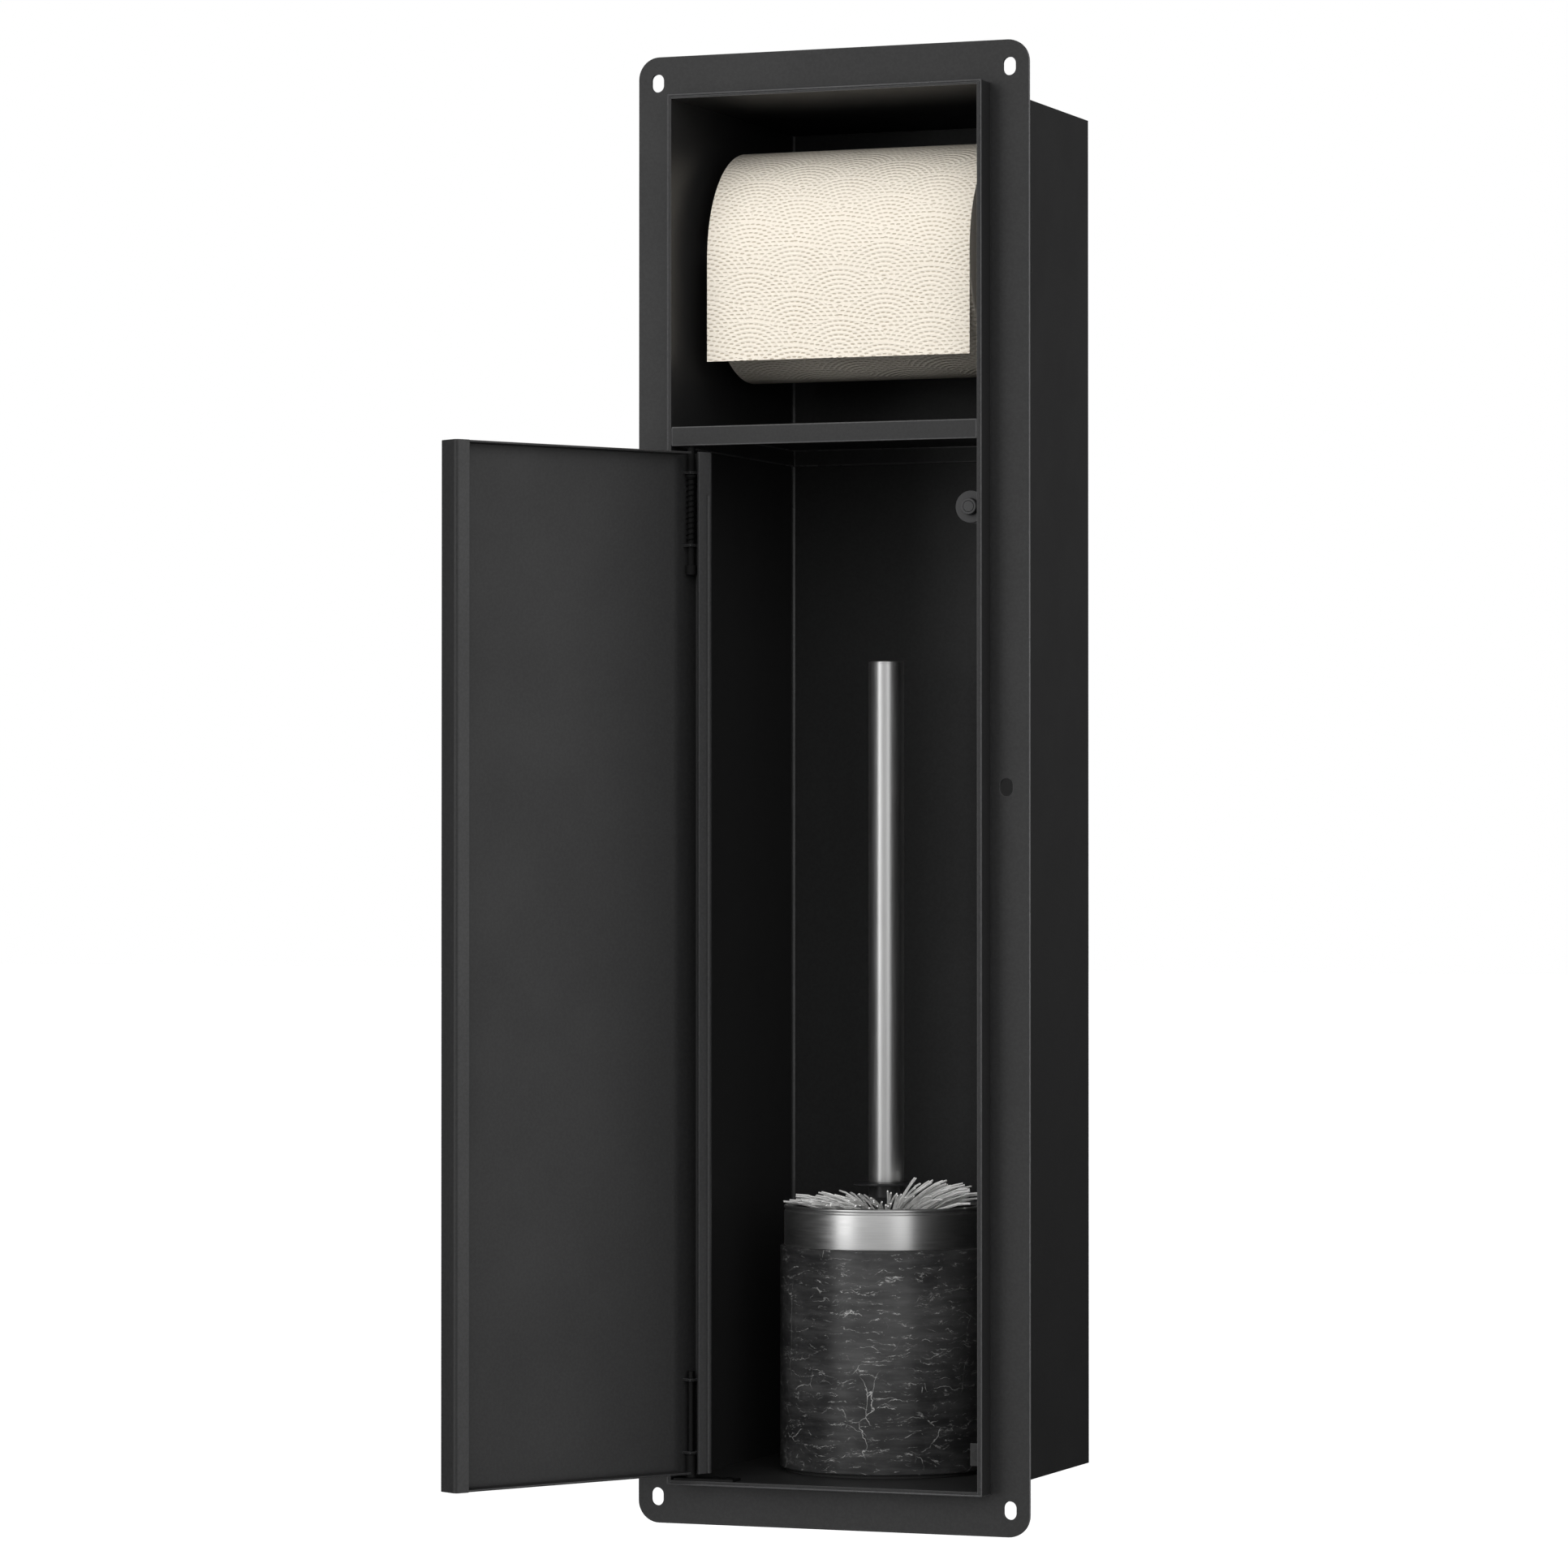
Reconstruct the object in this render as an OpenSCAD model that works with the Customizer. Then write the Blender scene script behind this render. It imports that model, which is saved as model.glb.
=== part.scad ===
// Recessed bathroom cabinet: a steel box for a wall cavity, with a face flange and a collar
// that stands proud for tiling. The upper niche holds a paper roll on a sprung spindle. The
// lower compartment holds a brush in its holder, behind an inset tray door on pivot pins.
// Origin: centre of the flange on its back face, which is the wall. +Y goes into the wall,
// +Z is up, and the room is on the -Y side. All sizes are in millimetres.

/* [Flange and collar] */
// Width of the face flange
flange_w = 169; // [166:1:185]
// Height of the face flange
flange_h = 600; // [580:1:700]
// Thickness of the flange plate
flange_t = 1.5; // [1:0.1:2]
// Corner radius of the flange
flange_corner_r = 9; // [3:0.5:11]
// Flange margin outside the collar, left and right
margin_x = 16.5; // [15.5:0.1:18]
// Flange margin outside the collar, above and below
margin_z = 16.7; // [15.5:0.1:20]
// How far the collar stands proud of the flange
collar_proud = 10.5; // [9:0.1:14]
// Sheet thickness of the collar and the box
sheet_t = 1; // [0.8:0.1:1.2]

/* [Wall screws] */
// Width of a screw slot
slot_w = 5.4; // [4.5:0.1:6]
// Length of a screw slot
slot_l = 7.4; // [6.5:0.1:9]
// Distance of the corner slots from the flange's side edge
slot_edge_x = 8.3; // [7:0.1:9]
// Distance of the corner slots from the flange's top or bottom edge
slot_edge_z = 10.7; // [9:0.1:12]
// Distance of the middle slots from the flange's side edge
mid_slot_edge_x = 9.7; // [8:0.1:10.5]

/* [Box and shelf] */
// Depth of the box behind the wall's face
box_depth = 126.8; // [118:0.5:150]
// Height of the niche above the shelf
niche_h = 133.9; // [130:0.1:150]
// Height of the shelf's folded edges
shelf_edge_h = 8; // [7:0.5:12]

/* [Door] */
// Thickness of the door tray
door_t = 11; // [9.5:0.5:12]
// Sheet thickness of the door
door_sheet = 1.2; // [1:0.1:1.5]
// Radius of the door's long bends
door_bend_r = 1.8; // [1.5:0.1:2.2]
// Gap at each long edge of the closed door
door_gap_x = 1.5; // [1.2:0.1:1.8]
// Gap above the closed door
door_gap_top = 2.6; // [2:0.1:4]
// Gap below the closed door
door_gap_bottom = 3; // [2.5:0.1:4]
// Width of the return flange at the free edge
return_free_w = 6.6; // [6:0.1:9]
// Width of the return flange at the hinge edge
return_hinge_w = 7.6; // [6:0.1:9]
// Distance of the pivot from the collar's inner face
pivot_in_x = 7.4; // [7.2:0.1:8]
// Distance of the pivot behind the door's front face
pivot_in_y = 3.7; // [3.5:0.1:3.9]
// How far the door stands open
door_open = 120; // [0:1:122]

/* [Pivots] */
// Diameter of the pivot pins
pin_d = 3; // [2.5:0.1:3.2]
// Distance of a carrier's outer lug from the door's end
lug_in = 7.7; // [6:0.1:10]
// Distance between the two lugs of a carrier
lug_pitch = 29.6; // [20:0.2:35]
// Thickness of a carrier's sheet
lug_t = 1; // [0.8:0.1:1.2]
// Travel of the sprung upper pin
pin_travel = 4.6; // [4.4:0.1:5]

/* [Push latch and stop] */
// Diameter of the latch's front disc
latch_disc_d = 13.1; // [12:0.1:15]
// Diameter of the latch barrel
latch_barrel_d = 10; // [9:0.1:10.5]
// Length of the latch barrel
latch_barrel_l = 38; // [30:1:50]
// Diameter of the plunger
plunger_d = 6.5; // [5:0.1:7]
// Travel of the plunger
plunger_travel = 3; // [2:0.1:4]
// Distance of the latch below the shelf's folded edges
latch_below_shelf = 26.4; // [20:0.2:60]
// Diameter of the bumper
bumper_d = 4.1; // [3:0.1:6]
// Height of the bumper above the compartment's floor
bumper_up = 13.6; // [8:0.1:40]

/* [Roll and spindle] */
// Diameter of the paper roll
roll_d = 96; // [80:1:98]
// Gap between each end of the paper roll and the wall
roll_side_gap = 9; // [8.5:0.5:16]
// Inner diameter of the roll's card tube
core_d = 40; // [38:1:45]
// Wall of the card tube
core_wall = 1; // [0.6:0.1:2]
// Thickness of the outer sheet
paper_t = 0.4; // [0.3:0.1:0.6]
// Length of the sheet's free end below the roll's middle
tail_l = 42; // [10:1:42]
// Distance of the roll's front behind the wall's face
roll_in = 5; // [3:0.5:12]
// Height of the roll's middle above the shelf
roll_up = 69.6; // [66:0.1:70]
// Outer diameter of the spindle
spindle_d = 25; // [22:0.5:28]
// Diameter of the spindle's end tips
tip_d = 10; // [8:0.5:11]
// How far a cup stands off the wall
cup_h = 6; // [5:0.5:6]

/* [Holder and brush] */
// Outer diameter of the holder's sleeve
sleeve_d = 88; // [82:1:92]
// Height of the sleeve
sleeve_h = 91.3; // [80:0.5:100]
// Wall of the sleeve
sleeve_wall = 2.4; // [2:0.1:3]
// Height of the steel ring
ring_h = 16.9; // [12:0.5:22]
// How far the steel ring stands in from the sleeve's face
ring_inset = 1.6; // [1:0.1:2]
// How far the holder stands behind the middle of the space between the door and the back
holder_shift = 0.1; // [-10:0.1:10]
// Thickness of the holder's foot
pad_t = 1.5; // [1:0.1:3]
// Diameter of the brush handle
handle_d = 14.5; // [12:0.5:18]
// Free height above the brush, for lifting it out
brush_headroom = 86; // [60:1:150]
// Diameter of the drip disc
disc_d = 27.2; // [22:0.1:40]
// Number of bristle strands that fan out above the holder
fan_count = 190; // [150:1:230]
// Number of bristle strands inside the holder
inner_count = 200; // [140:1:250]
// Thickness of a strand
strand_d = 1.1; // [0.8:0.1:1.2]

/* [Hidden] */
$fn = 96;
over = 0.5;
run_gap = 0.05;
rest_gap = 0.3;

// Box and collar
front_y = -flange_t - collar_proud;
collar_w = flange_w - 2 * margin_x;
collar_h = flange_h - 2 * margin_z;
box_w = collar_w - 2 * sheet_t;
box_h = collar_h - 2 * sheet_t;
in_w = box_w - 2 * sheet_t;
in_h = box_h - 2 * sheet_t;
wall_x = in_w / 2;
floor_z = -in_h / 2;
ceil_z = in_h / 2;
back_y = box_depth - sheet_t;
slot_x = flange_w / 2 - slot_edge_x;
slot_z = flange_h / 2 - slot_edge_z;
mid_slot_x = flange_w / 2 - mid_slot_edge_x;
shelf_z = ceil_z - niche_h;
shelf_under_z = shelf_z - shelf_edge_h;
shelf_sheet_z = shelf_z - sheet_t;

// Door, drawn closed and then turned about its pivot
door_w = in_w - 2 * door_gap_x;
door_top = shelf_under_z - door_gap_top;
door_bottom = floor_z + door_gap_bottom;
door_h = door_top - door_bottom;
door_x = -wall_x + door_gap_x;
door_back_y = front_y + door_t;
pivot_x = -wall_x + pivot_in_x;
pivot_y = front_y + pivot_in_y;
crease_w = 1.2;
crease_depth = 0.35;
crease_in = 2.4;
crease_top = 17.5;

// Carriers, pins and their seats
pin_r = pin_d / 2;
lug_margin = 2.5;
lug_w = pivot_x - door_x - door_sheet + lug_margin;
lug_d = pivot_in_y - door_sheet + lug_margin;
bore_r = pin_r + run_gap;
upper_lug_z = door_top - lug_in;
upper_lug_low_z = upper_lug_z - lug_pitch;
lower_lug_z = door_bottom + lug_in;
lower_lug_high_z = lower_lug_z + lug_pitch;
pin_clear = 0.6;
pin_into_block = pin_travel - pin_clear;
pin_below_lug = 8;
pin_collar_step = 0.7;
pin_collar_r = pin_r + pin_collar_step;
pin_collar_h = 1;
pin_knob_step = 0.8;
pin_knob_r = pin_r + pin_knob_step;
pin_knob_h = 4;
pin_top = shelf_under_z + pin_into_block;
pin_collar_top = upper_lug_z - lug_t - rest_gap;
block_bore = pin_into_block + sheet_t;
block_w = 12;
block_side_gap = 0.2;
block_front = front_y + sheet_t + block_side_gap;
block_d = 2 * (pivot_y - block_front);
plate_t = 1;
plate_in = 1;
plate_w = 26;
plate_d = 9;
stud_above_lug = 4;
stud_top = lower_lug_high_z + stud_above_lug;
spacer_wall = 0.55;
spacer_r = bore_r + spacer_wall;
rivet_r = 1.5;
rivet_head_r = 2.4;
rivet_head_h = 0.9;
rivet_dome_r = rivet_head_r * 1.5;
plate_rivet_offsets = [11, 16.5];

// Push latch
latch_z = shelf_under_z - latch_below_shelf;
latch_wall_gap = 1.05;
latch_x = wall_x - latch_disc_d / 2 - latch_wall_gap;
latch_disc_t = 1.5;
latch_face_y = door_back_y + rest_gap + plunger_travel;
barrel_back_y = latch_face_y + latch_disc_t + latch_barrel_l;
barrel_end_t = 2;
plunger_l = 22;
plunger_bore_l = 24;
plunger_tip_y = door_back_y + rest_gap;
spring_bore_step = 0.65;
spring_bore_r = plunger_d / 2 + spring_bore_step;
magnet_r = 2.2;
magnet_l = 2.5;
clip_wall = 1.5;
clip_l = 18;
clip_start = 8;
clip_plate_t = 1.2;
clip_plate_h = 27;
clip_screw_pitch = 20;
clip_y = latch_face_y + latch_disc_t + clip_start;

// Door stop
stop_z = floor_z + bumper_up;
bumper_from_wall = 4.1;
bumper_x = wall_x - bumper_from_wall;
bumper_t = 1.7;
stop_tab_y = door_back_y + rest_gap + bumper_t;
stop_tab_w = 7.5;
stop_h = 9;
stop_l = 16;
stop_rivet_in = 10;

// Spindle and roll
roll_r = roll_d / 2;
roll_w = in_w - 2 * roll_side_gap;
roll_y = roll_in + roll_r;
roll_z = shelf_z + roll_up;
spindle_r = spindle_d / 2;
spindle_z = roll_z + core_d / 2 - spindle_r - rest_gap;
cup_flange_r = 15;
cup_flange_t = 2;
cup_boss_r = 8.5;
cup_socket_wall = 1;
cup_rivet_pitch = 22;
cup_face_x = wall_x - cup_h;
socket_x = wall_x - cup_socket_wall;
tip_end_x = socket_x - rest_gap;
shoulder_gap = 0.6;
shoulder_x = cup_face_x - shoulder_gap;
spindle_wall = 1.5;
spindle_outer_end = 12;
spindle_inner_start = -10;
end_wall = 2;
paper_r = roll_r - paper_t - run_gap;
paper_in_r = core_d / 2 + core_wall + run_gap;
wrap_angle = 150;

// Holder
holder_in = (door_back_y + back_y) / 2 + holder_shift;
pad_top = floor_z + pad_t;
sleeve_top = pad_top + sleeve_h;
ring_top = sleeve_top + ring_h;
ring_r = sleeve_d / 2 - ring_inset;
ring_t = 1;
ring_bead_r = 0.8;
liner_r = ring_r - ring_t - run_gap;
liner_wall = 1.5;
liner_floor = 2;
liner_top = ring_top - 2 * ring_bead_r;
liner_in_r = liner_r - liner_wall;
pad_in = 1.5;
pad_r = sleeve_d / 2 - pad_in;

// Brush
disc_t = 1;
handle_above_ring = 9;
handle_bottom = ring_top + handle_above_ring;
handle_top = shelf_under_z - brush_headroom;
handle_l = handle_top - handle_bottom;
handle_r = handle_d / 2;
handle_wall = 1;
cap_t = 1.2;
cap_plug_l = 6;
cap_dome_r = handle_r * 6;
ferrule_h = 5.2;
ferrule_taper_h = 3;
ferrule_plug_l = 12;
stem_r = 4.5;
disc_z = handle_bottom - disc_t;
ferrule_z = disc_z - ferrule_h;
stem_top = ferrule_z - ferrule_taper_h;
fan_root_top = stem_top - 2 * strand_d;
fan_root_h = 15;
fan_root_low = fan_root_top - fan_root_h;
stem_split = fan_root_low - strand_d;
stem_above_liner = 14.5;
stem_bottom = pad_top + liner_floor + stem_above_liner;
tip_r = 7;
tip_bottom = pad_top + liner_floor + rest_gap;
inner_above_stem = 1.5;
inner_low = stem_bottom + inner_above_stem;
inner_high = stem_split - 2 * strand_d;
inner_slope = 0.3;
strand_taper = 0.8;
golden_angle = 137.508;
root_r = stem_r - strand_d;

// Springs: wire, coil radius and turns
spindle_wire = 1.2;
spindle_coil_room = 2.9;
spindle_coil_r = spindle_r - spindle_wall - spindle_wire / 2 - spindle_coil_room;
spindle_turns = 12;
latch_wire = 0.5;
latch_coil_r = plunger_d / 2 - latch_wire - run_gap;
latch_turns = 8;
pin_wire = 0.4;
pin_coil_gap = 0.25;
pin_coil_r = pin_r + pin_wire / 2 + pin_coil_gap;
pin_turns = 12;
coil_steps = 8;
coil_sides = 6;
seat_gap = 0.05;

black_steel = "#2b2b2c";
bright_steel = "#c9ccd0";
dark_plastic = "#1d1d1f";

// A solid drawn upright and laid along +Y or +X
module along_y() rotate([-90, 0, 0]) children();
module along_x() rotate([0, 90, 0]) children();

// A box from its low corner to its high corner
module span(low, high) translate(low) cube(high - low);

// A rectangle with true round corners
module soft_square(w, h, r) {
  translate([r, 0]) square([w - 2 * r, h]);
  translate([0, r]) square([w, h - 2 * r]);
  for (x = [r, w - r], y = [r, h - r]) translate([x, y]) circle(r);
}

module slot_hole() {
  straight = slot_l - slot_w;
  translate([-slot_w / 2, -straight / 2]) square([slot_w, straight]);
  for (s = [-1, 1]) translate([0, s * straight / 2]) circle(slot_w / 2);
}

// A round wire wound on +Z, as one unbroken tube with closed ends
function coil_point(r, rise, k) =
  [r * cos(360 * k / coil_steps), r * sin(360 * k / coil_steps), rise * k / coil_steps];
function coil_rim(r, rise, wire, k) = [for (j = [0 : coil_sides - 1])
  let (a = 360 * k / coil_steps, b = 360 * j / coil_sides, q = r + wire / 2 * cos(b))
  [q * cos(a), q * sin(a), rise * k / coil_steps + wire / 2 * sin(b)]];
module coil(r, wire, turns, length) {
  rise = (length - wire) / turns;
  last = turns * coil_steps;
  rings = [for (k = [0 : last]) each coil_rim(r, rise, wire, k)];
  sides = [for (k = [0 : last - 1], j = [0 : coil_sides - 1])
    let (a = k * coil_sides + j, b = k * coil_sides + (j + 1) % coil_sides)
    each [[a, a + coil_sides, b], [b, a + coil_sides, b + coil_sides]]];
  caps = concat(
    [for (j = [1 : coil_sides - 2]) [0, j, j + 1]],
    [for (j = [1 : coil_sides - 2]) let (e = last * coil_sides) [e, e + j + 1, e + j]]);
  translate([0, 0, wire / 2]) polyhedron(points = rings, faces = concat(sides, caps));
  line = [for (k = [0 : last]) coil_point(r, rise, k)];
  far = [for (i = [0 : last], j = [i + coil_steps / 2 : last]) if (j <= last) norm(line[i] - line[j])];
  echo(str("least gap of a coil to itself, mm: ", min(far) - wire));
}

// A rivet with a low domed head at the origin and its shank on +Z
module rivet(shank_l) {
  cylinder(r = rivet_r, h = shank_l);
  intersection() {
    translate([0, 0, rivet_dome_r - rivet_head_h]) sphere(rivet_dome_r);
    translate([0, 0, -rivet_head_h]) cylinder(r = rivet_head_r, h = rivet_head_h);
  }
}

// Flange, collar and box
module wall_flange() color(black_steel)
  rotate([90, 0, 0]) linear_extrude(flange_t) difference() {
    translate([-flange_w / 2, -flange_h / 2]) soft_square(flange_w, flange_h, flange_corner_r);
    square([collar_w, collar_h], center = true);
    for (x = [-slot_x, slot_x], z = [-slot_z, slot_z]) translate([x, z]) slot_hole();
    for (x = [-mid_slot_x, mid_slot_x]) translate([x, 0]) slot_hole();
  }

module collar() color(black_steel) difference() {
  span([-collar_w / 2, front_y, -collar_h / 2], [collar_w / 2, 0, collar_h / 2]);
  span([-box_w / 2, front_y - over, -box_h / 2], [box_w / 2, over, box_h / 2]);
}

// Side wall on the side s, with a hole for each rivet that it carries
module side_wall(s) {
  x = s * wall_x;
  span([min(x, x + s * sheet_t), front_y, -box_h / 2], [max(x, x + s * sheet_t), box_depth, box_h / 2]);
}

module wall_holes(points) for (p = points) translate([-box_w / 2 - over, p[0], p[1]])
  along_x() cylinder(r = rivet_r + run_gap, h = box_w + 2 * over);

cup_points = [for (s = [-1, 1]) [roll_y, spindle_z + s * cup_rivet_pitch / 2]];
clip_points = [for (s = [-1, 1]) [clip_y + clip_l / 2, latch_z + s * clip_screw_pitch / 2]];
stop_point = [stop_tab_y + stop_rivet_in, stop_z];

module left_wall() color(black_steel) difference() {
  side_wall(-1);
  wall_holes(cup_points);
}

module right_wall() color(black_steel) difference() {
  side_wall(1);
  wall_holes(concat(cup_points, clip_points, [stop_point]));
}

module top_wall() color(black_steel)
  span([-wall_x, front_y, ceil_z], [wall_x, box_depth, ceil_z + sheet_t]);

module bottom_wall() color(black_steel) difference() {
  span([-wall_x, front_y, floor_z - sheet_t], [wall_x, box_depth, floor_z]);
  for (d = plate_rivet_offsets) translate([pivot_x + d, pivot_y, floor_z - sheet_t - over])
    cylinder(r = rivet_r + run_gap, h = sheet_t + 2 * over);
}

module back_panel() color(black_steel)
  span([-wall_x, back_y, floor_z], [wall_x, box_depth, ceil_z]);

module divider_shelf() color(black_steel) difference() {
  span([-wall_x, front_y, shelf_under_z], [wall_x, back_y, shelf_z]);
  span([-wall_x + sheet_t, front_y + sheet_t, shelf_under_z - over],
       [wall_x - sheet_t, back_y - sheet_t, shelf_sheet_z]);
}

// Roll supports
module roll_cup(s) translate([s * wall_x, roll_y, spindle_z]) rotate([0, -s * 90, 0]) difference() {
  union() {
    cylinder(r = cup_flange_r, h = cup_flange_t);
    cylinder(r = cup_boss_r, h = cup_h);
  }
  translate([0, 0, cup_socket_wall]) cylinder(r = tip_d / 2 + run_gap, h = cup_h);
  for (v = [-1, 1]) translate([0, 0, -over]) rotate([0, 0, 90 * (1 - v)])
    translate([cup_rivet_pitch / 2, 0, 0]) cylinder(r = rivet_r + run_gap, h = cup_flange_t + 2 * over);
}
module left_roll_cup() color(bright_steel) roll_cup(-1);
module right_roll_cup() color(bright_steel) roll_cup(1);

module cup_rivets() color(bright_steel) for (s = [-1, 1], p = cup_points)
  translate([s * (wall_x - cup_flange_t), p[0], p[1]]) rotate([0, s * 90, 0]) rivet(cup_flange_t + sheet_t);

module spindle_outer_sleeve() color(dark_plastic) translate([0, roll_y, spindle_z]) along_x() {
  difference() {
    translate([0, 0, -shoulder_x]) cylinder(r = spindle_r, h = shoulder_x + spindle_outer_end);
    translate([0, 0, -shoulder_x + end_wall])
      cylinder(r = spindle_r - spindle_wall, h = shoulder_x + spindle_outer_end);
  }
  translate([0, 0, -tip_end_x]) cylinder(r = tip_d / 2, h = tip_end_x - shoulder_x + over);
}

module spindle_inner_sleeve() color(dark_plastic) translate([0, roll_y, spindle_z]) along_x() {
  slide_r = spindle_r - spindle_wall - run_gap;
  difference() {
    translate([0, 0, spindle_inner_start]) cylinder(r = slide_r, h = shoulder_x - spindle_inner_start);
    translate([0, 0, spindle_inner_start + end_wall])
      cylinder(r = slide_r - spindle_wall, h = shoulder_x - spindle_inner_start - 2 * end_wall);
  }
  translate([0, 0, shoulder_x - over]) cylinder(r = tip_d / 2, h = tip_end_x - shoulder_x + over);
}

module spindle_spring() color(bright_steel) {
  start = -shoulder_x + end_wall + seat_gap;
  length = spindle_inner_start - seat_gap - start;
  translate([start, roll_y, spindle_z]) along_x() coil(spindle_coil_r, spindle_wire, spindle_turns, length);
}

// Paper roll
module roll_tube(outer, inner) translate([-roll_w / 2, roll_y, roll_z]) along_x() difference() {
  cylinder(r = outer, h = roll_w);
  translate([0, 0, -over]) cylinder(r = inner, h = roll_w + 2 * over);
}
module card_core() color("#b79b78") roll_tube(core_d / 2 + core_wall, core_d / 2);
module paper_roll() color("#efe7d6") roll_tube(paper_r, paper_in_r);

// The last turn of paper: it wraps the top of the roll and hangs free at the front
module outer_sheet() color("#f3ecdc") {
  translate([-roll_w / 2, roll_y, roll_z]) rotate([90, 0, 90]) linear_extrude(roll_w) {
    intersection() {
      difference() {
        circle(roll_r);
        circle(roll_r - paper_t);
      }
      reach = roll_r * 2;
      wrap_rise = reach * sin(180 - wrap_angle);
      wrap_run = reach * cos(180 - wrap_angle);
      polygon([[0, 0], [-reach, 0], [-reach, reach], [reach, reach],
               [reach, wrap_rise], [wrap_run, wrap_rise]]);
    }
    translate([-roll_r, -tail_l]) square([paper_t, tail_l + run_gap]);
  }
}

// Door
module hang_door() translate([pivot_x, pivot_y, 0]) rotate([0, 0, -door_open])
  translate([-pivot_x, -pivot_y, 0]) children();

module door_tray() color(black_steel) hang_door() translate([door_x, front_y, door_bottom]) difference() {
  linear_extrude(door_h) difference() {
    soft_square(door_w, door_t, door_bend_r);
    translate([door_sheet, door_sheet])
      soft_square(door_w - 2 * door_sheet, door_t - 2 * door_sheet, door_bend_r - door_sheet);
    translate([return_hinge_w, door_t / 2]) square([door_w - return_hinge_w - return_free_w, door_t]);
  }
  translate([crease_in, door_t - crease_depth, -over])
    cube([crease_w, crease_depth + over, door_h - crease_top + over]);
}

// A folded carrier: two lugs with bores on one web, in the tray's hinge corner, with a relieved corner
module carrier_layer(w, z, h) translate([door_x + door_sheet, front_y + door_sheet, z]) linear_extrude(h)
  intersection() {
    square([w, lug_d]);
    soft_square(2 * lug_w, 2 * lug_d, door_bend_r);
  }

module hinge_carrier(low_z, high_z) hang_door() difference() {
  union() {
    for (z = [low_z - lug_t, high_z - lug_t]) carrier_layer(lug_w, z, lug_t);
    carrier_layer(lug_t, low_z - lug_t, high_z - low_z + lug_t);
  }
  translate([pivot_x, pivot_y, low_z - lug_t - over])
    cylinder(r = bore_r, h = high_z - low_z + lug_t + 2 * over);
}
module upper_hinge_carrier() color(black_steel)
  hinge_carrier(upper_lug_low_z, upper_lug_z);
module lower_hinge_carrier() color(black_steel)
  hinge_carrier(lower_lug_z + lug_t, lower_lug_high_z + lug_t);

module upper_pivot_pin() color(dark_plastic) translate([pivot_x, pivot_y, 0]) {
  low = upper_lug_low_z - lug_t - pin_below_lug;
  translate([0, 0, low]) cylinder(r = pin_r, h = pin_top - low);
  translate([0, 0, pin_collar_top - pin_collar_h]) cylinder(r = pin_collar_r, h = pin_collar_h);
  translate([0, 0, low - pin_knob_h + over]) cylinder(r = pin_knob_r, h = pin_knob_h);
}

module pin_spring() color(dark_plastic) {
  start = upper_lug_low_z + seat_gap;
  length = pin_collar_top - pin_collar_h - seat_gap - start;
  translate([pivot_x, pivot_y, start]) coil(pin_coil_r, pin_wire, pin_turns, length);
}

module upper_pivot_block() color(dark_plastic) difference() {
  translate([-wall_x + sheet_t + block_side_gap, block_front, shelf_under_z])
    cube([block_w, block_d, shelf_sheet_z - shelf_under_z]);
  translate([pivot_x, pivot_y, shelf_under_z - over]) cylinder(r = bore_r, h = block_bore + over);
}

module lower_pivot_plate() color(bright_steel) {
  difference() {
    translate([-wall_x + plate_in, pivot_y - plate_d / 2 + plate_in, floor_z])
      cube([plate_w, plate_d, plate_t]);
    for (d = plate_rivet_offsets) translate([pivot_x + d, pivot_y, floor_z - over])
      cylinder(r = rivet_r + run_gap, h = plate_t + 2 * over);
  }
  translate([pivot_x, pivot_y, floor_z]) cylinder(r = pin_r, h = stud_top - floor_z);
}

module lower_pivot_rivets() color(bright_steel) for (d = plate_rivet_offsets)
  translate([pivot_x + d, pivot_y, floor_z + plate_t]) rotate([180, 0, 0]) rivet(plate_t + sheet_t);

module lower_spacer() color("#d8d8d2") translate([pivot_x, pivot_y, floor_z + plate_t]) difference() {
  length = lower_lug_z - rest_gap - floor_z - plate_t;
  cylinder(r = spacer_r, h = length);
  translate([0, 0, -over]) cylinder(r = bore_r, h = length + 2 * over);
}

// Push latch
module on_latch_axis(y) translate([latch_x, y, latch_z]) along_y() children();

module latch_housing() color(dark_plastic) difference() {
  union() {
    on_latch_axis(latch_face_y) cylinder(r = latch_disc_d / 2, h = latch_disc_t);
    on_latch_axis(latch_face_y) cylinder(r = latch_barrel_d / 2, h = latch_disc_t + latch_barrel_l);
  }
  on_latch_axis(latch_face_y - over) cylinder(r = plunger_d / 2 + run_gap, h = plunger_bore_l + over);
  on_latch_axis(latch_face_y) translate([0, 0, plunger_bore_l - over])
    cylinder(r = spring_bore_r, h = barrel_back_y - barrel_end_t - latch_face_y - plunger_bore_l + over);
}

module latch_clip() color(dark_plastic) difference() {
  union() {
    on_latch_axis(clip_y) cylinder(r = latch_barrel_d / 2 + clip_wall, h = clip_l);
    translate([wall_x - clip_plate_t, clip_y, latch_z - clip_plate_h / 2])
      cube([clip_plate_t, clip_l, clip_plate_h]);
    translate([latch_x, clip_y, latch_z - clip_wall]) cube([wall_x - latch_x, clip_l, 2 * clip_wall]);
  }
  on_latch_axis(clip_y - over) cylinder(r = latch_barrel_d / 2 + run_gap, h = clip_l + 2 * over);
  for (p = clip_points) translate([wall_x - clip_plate_t - over, p[0], p[1]])
    along_x() cylinder(r = rivet_r + run_gap, h = clip_plate_t + 2 * over);
}

module latch_screws() color(bright_steel) for (p = clip_points)
  translate([wall_x - clip_plate_t, p[0], p[1]]) along_x() rivet(clip_plate_t + sheet_t);

module latch_plunger() color("#3a3a3d") difference() {
  on_latch_axis(plunger_tip_y) cylinder(r = plunger_d / 2, h = plunger_l);
  on_latch_axis(plunger_tip_y - over) cylinder(r = magnet_r + run_gap, h = magnet_l + over);
}

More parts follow.
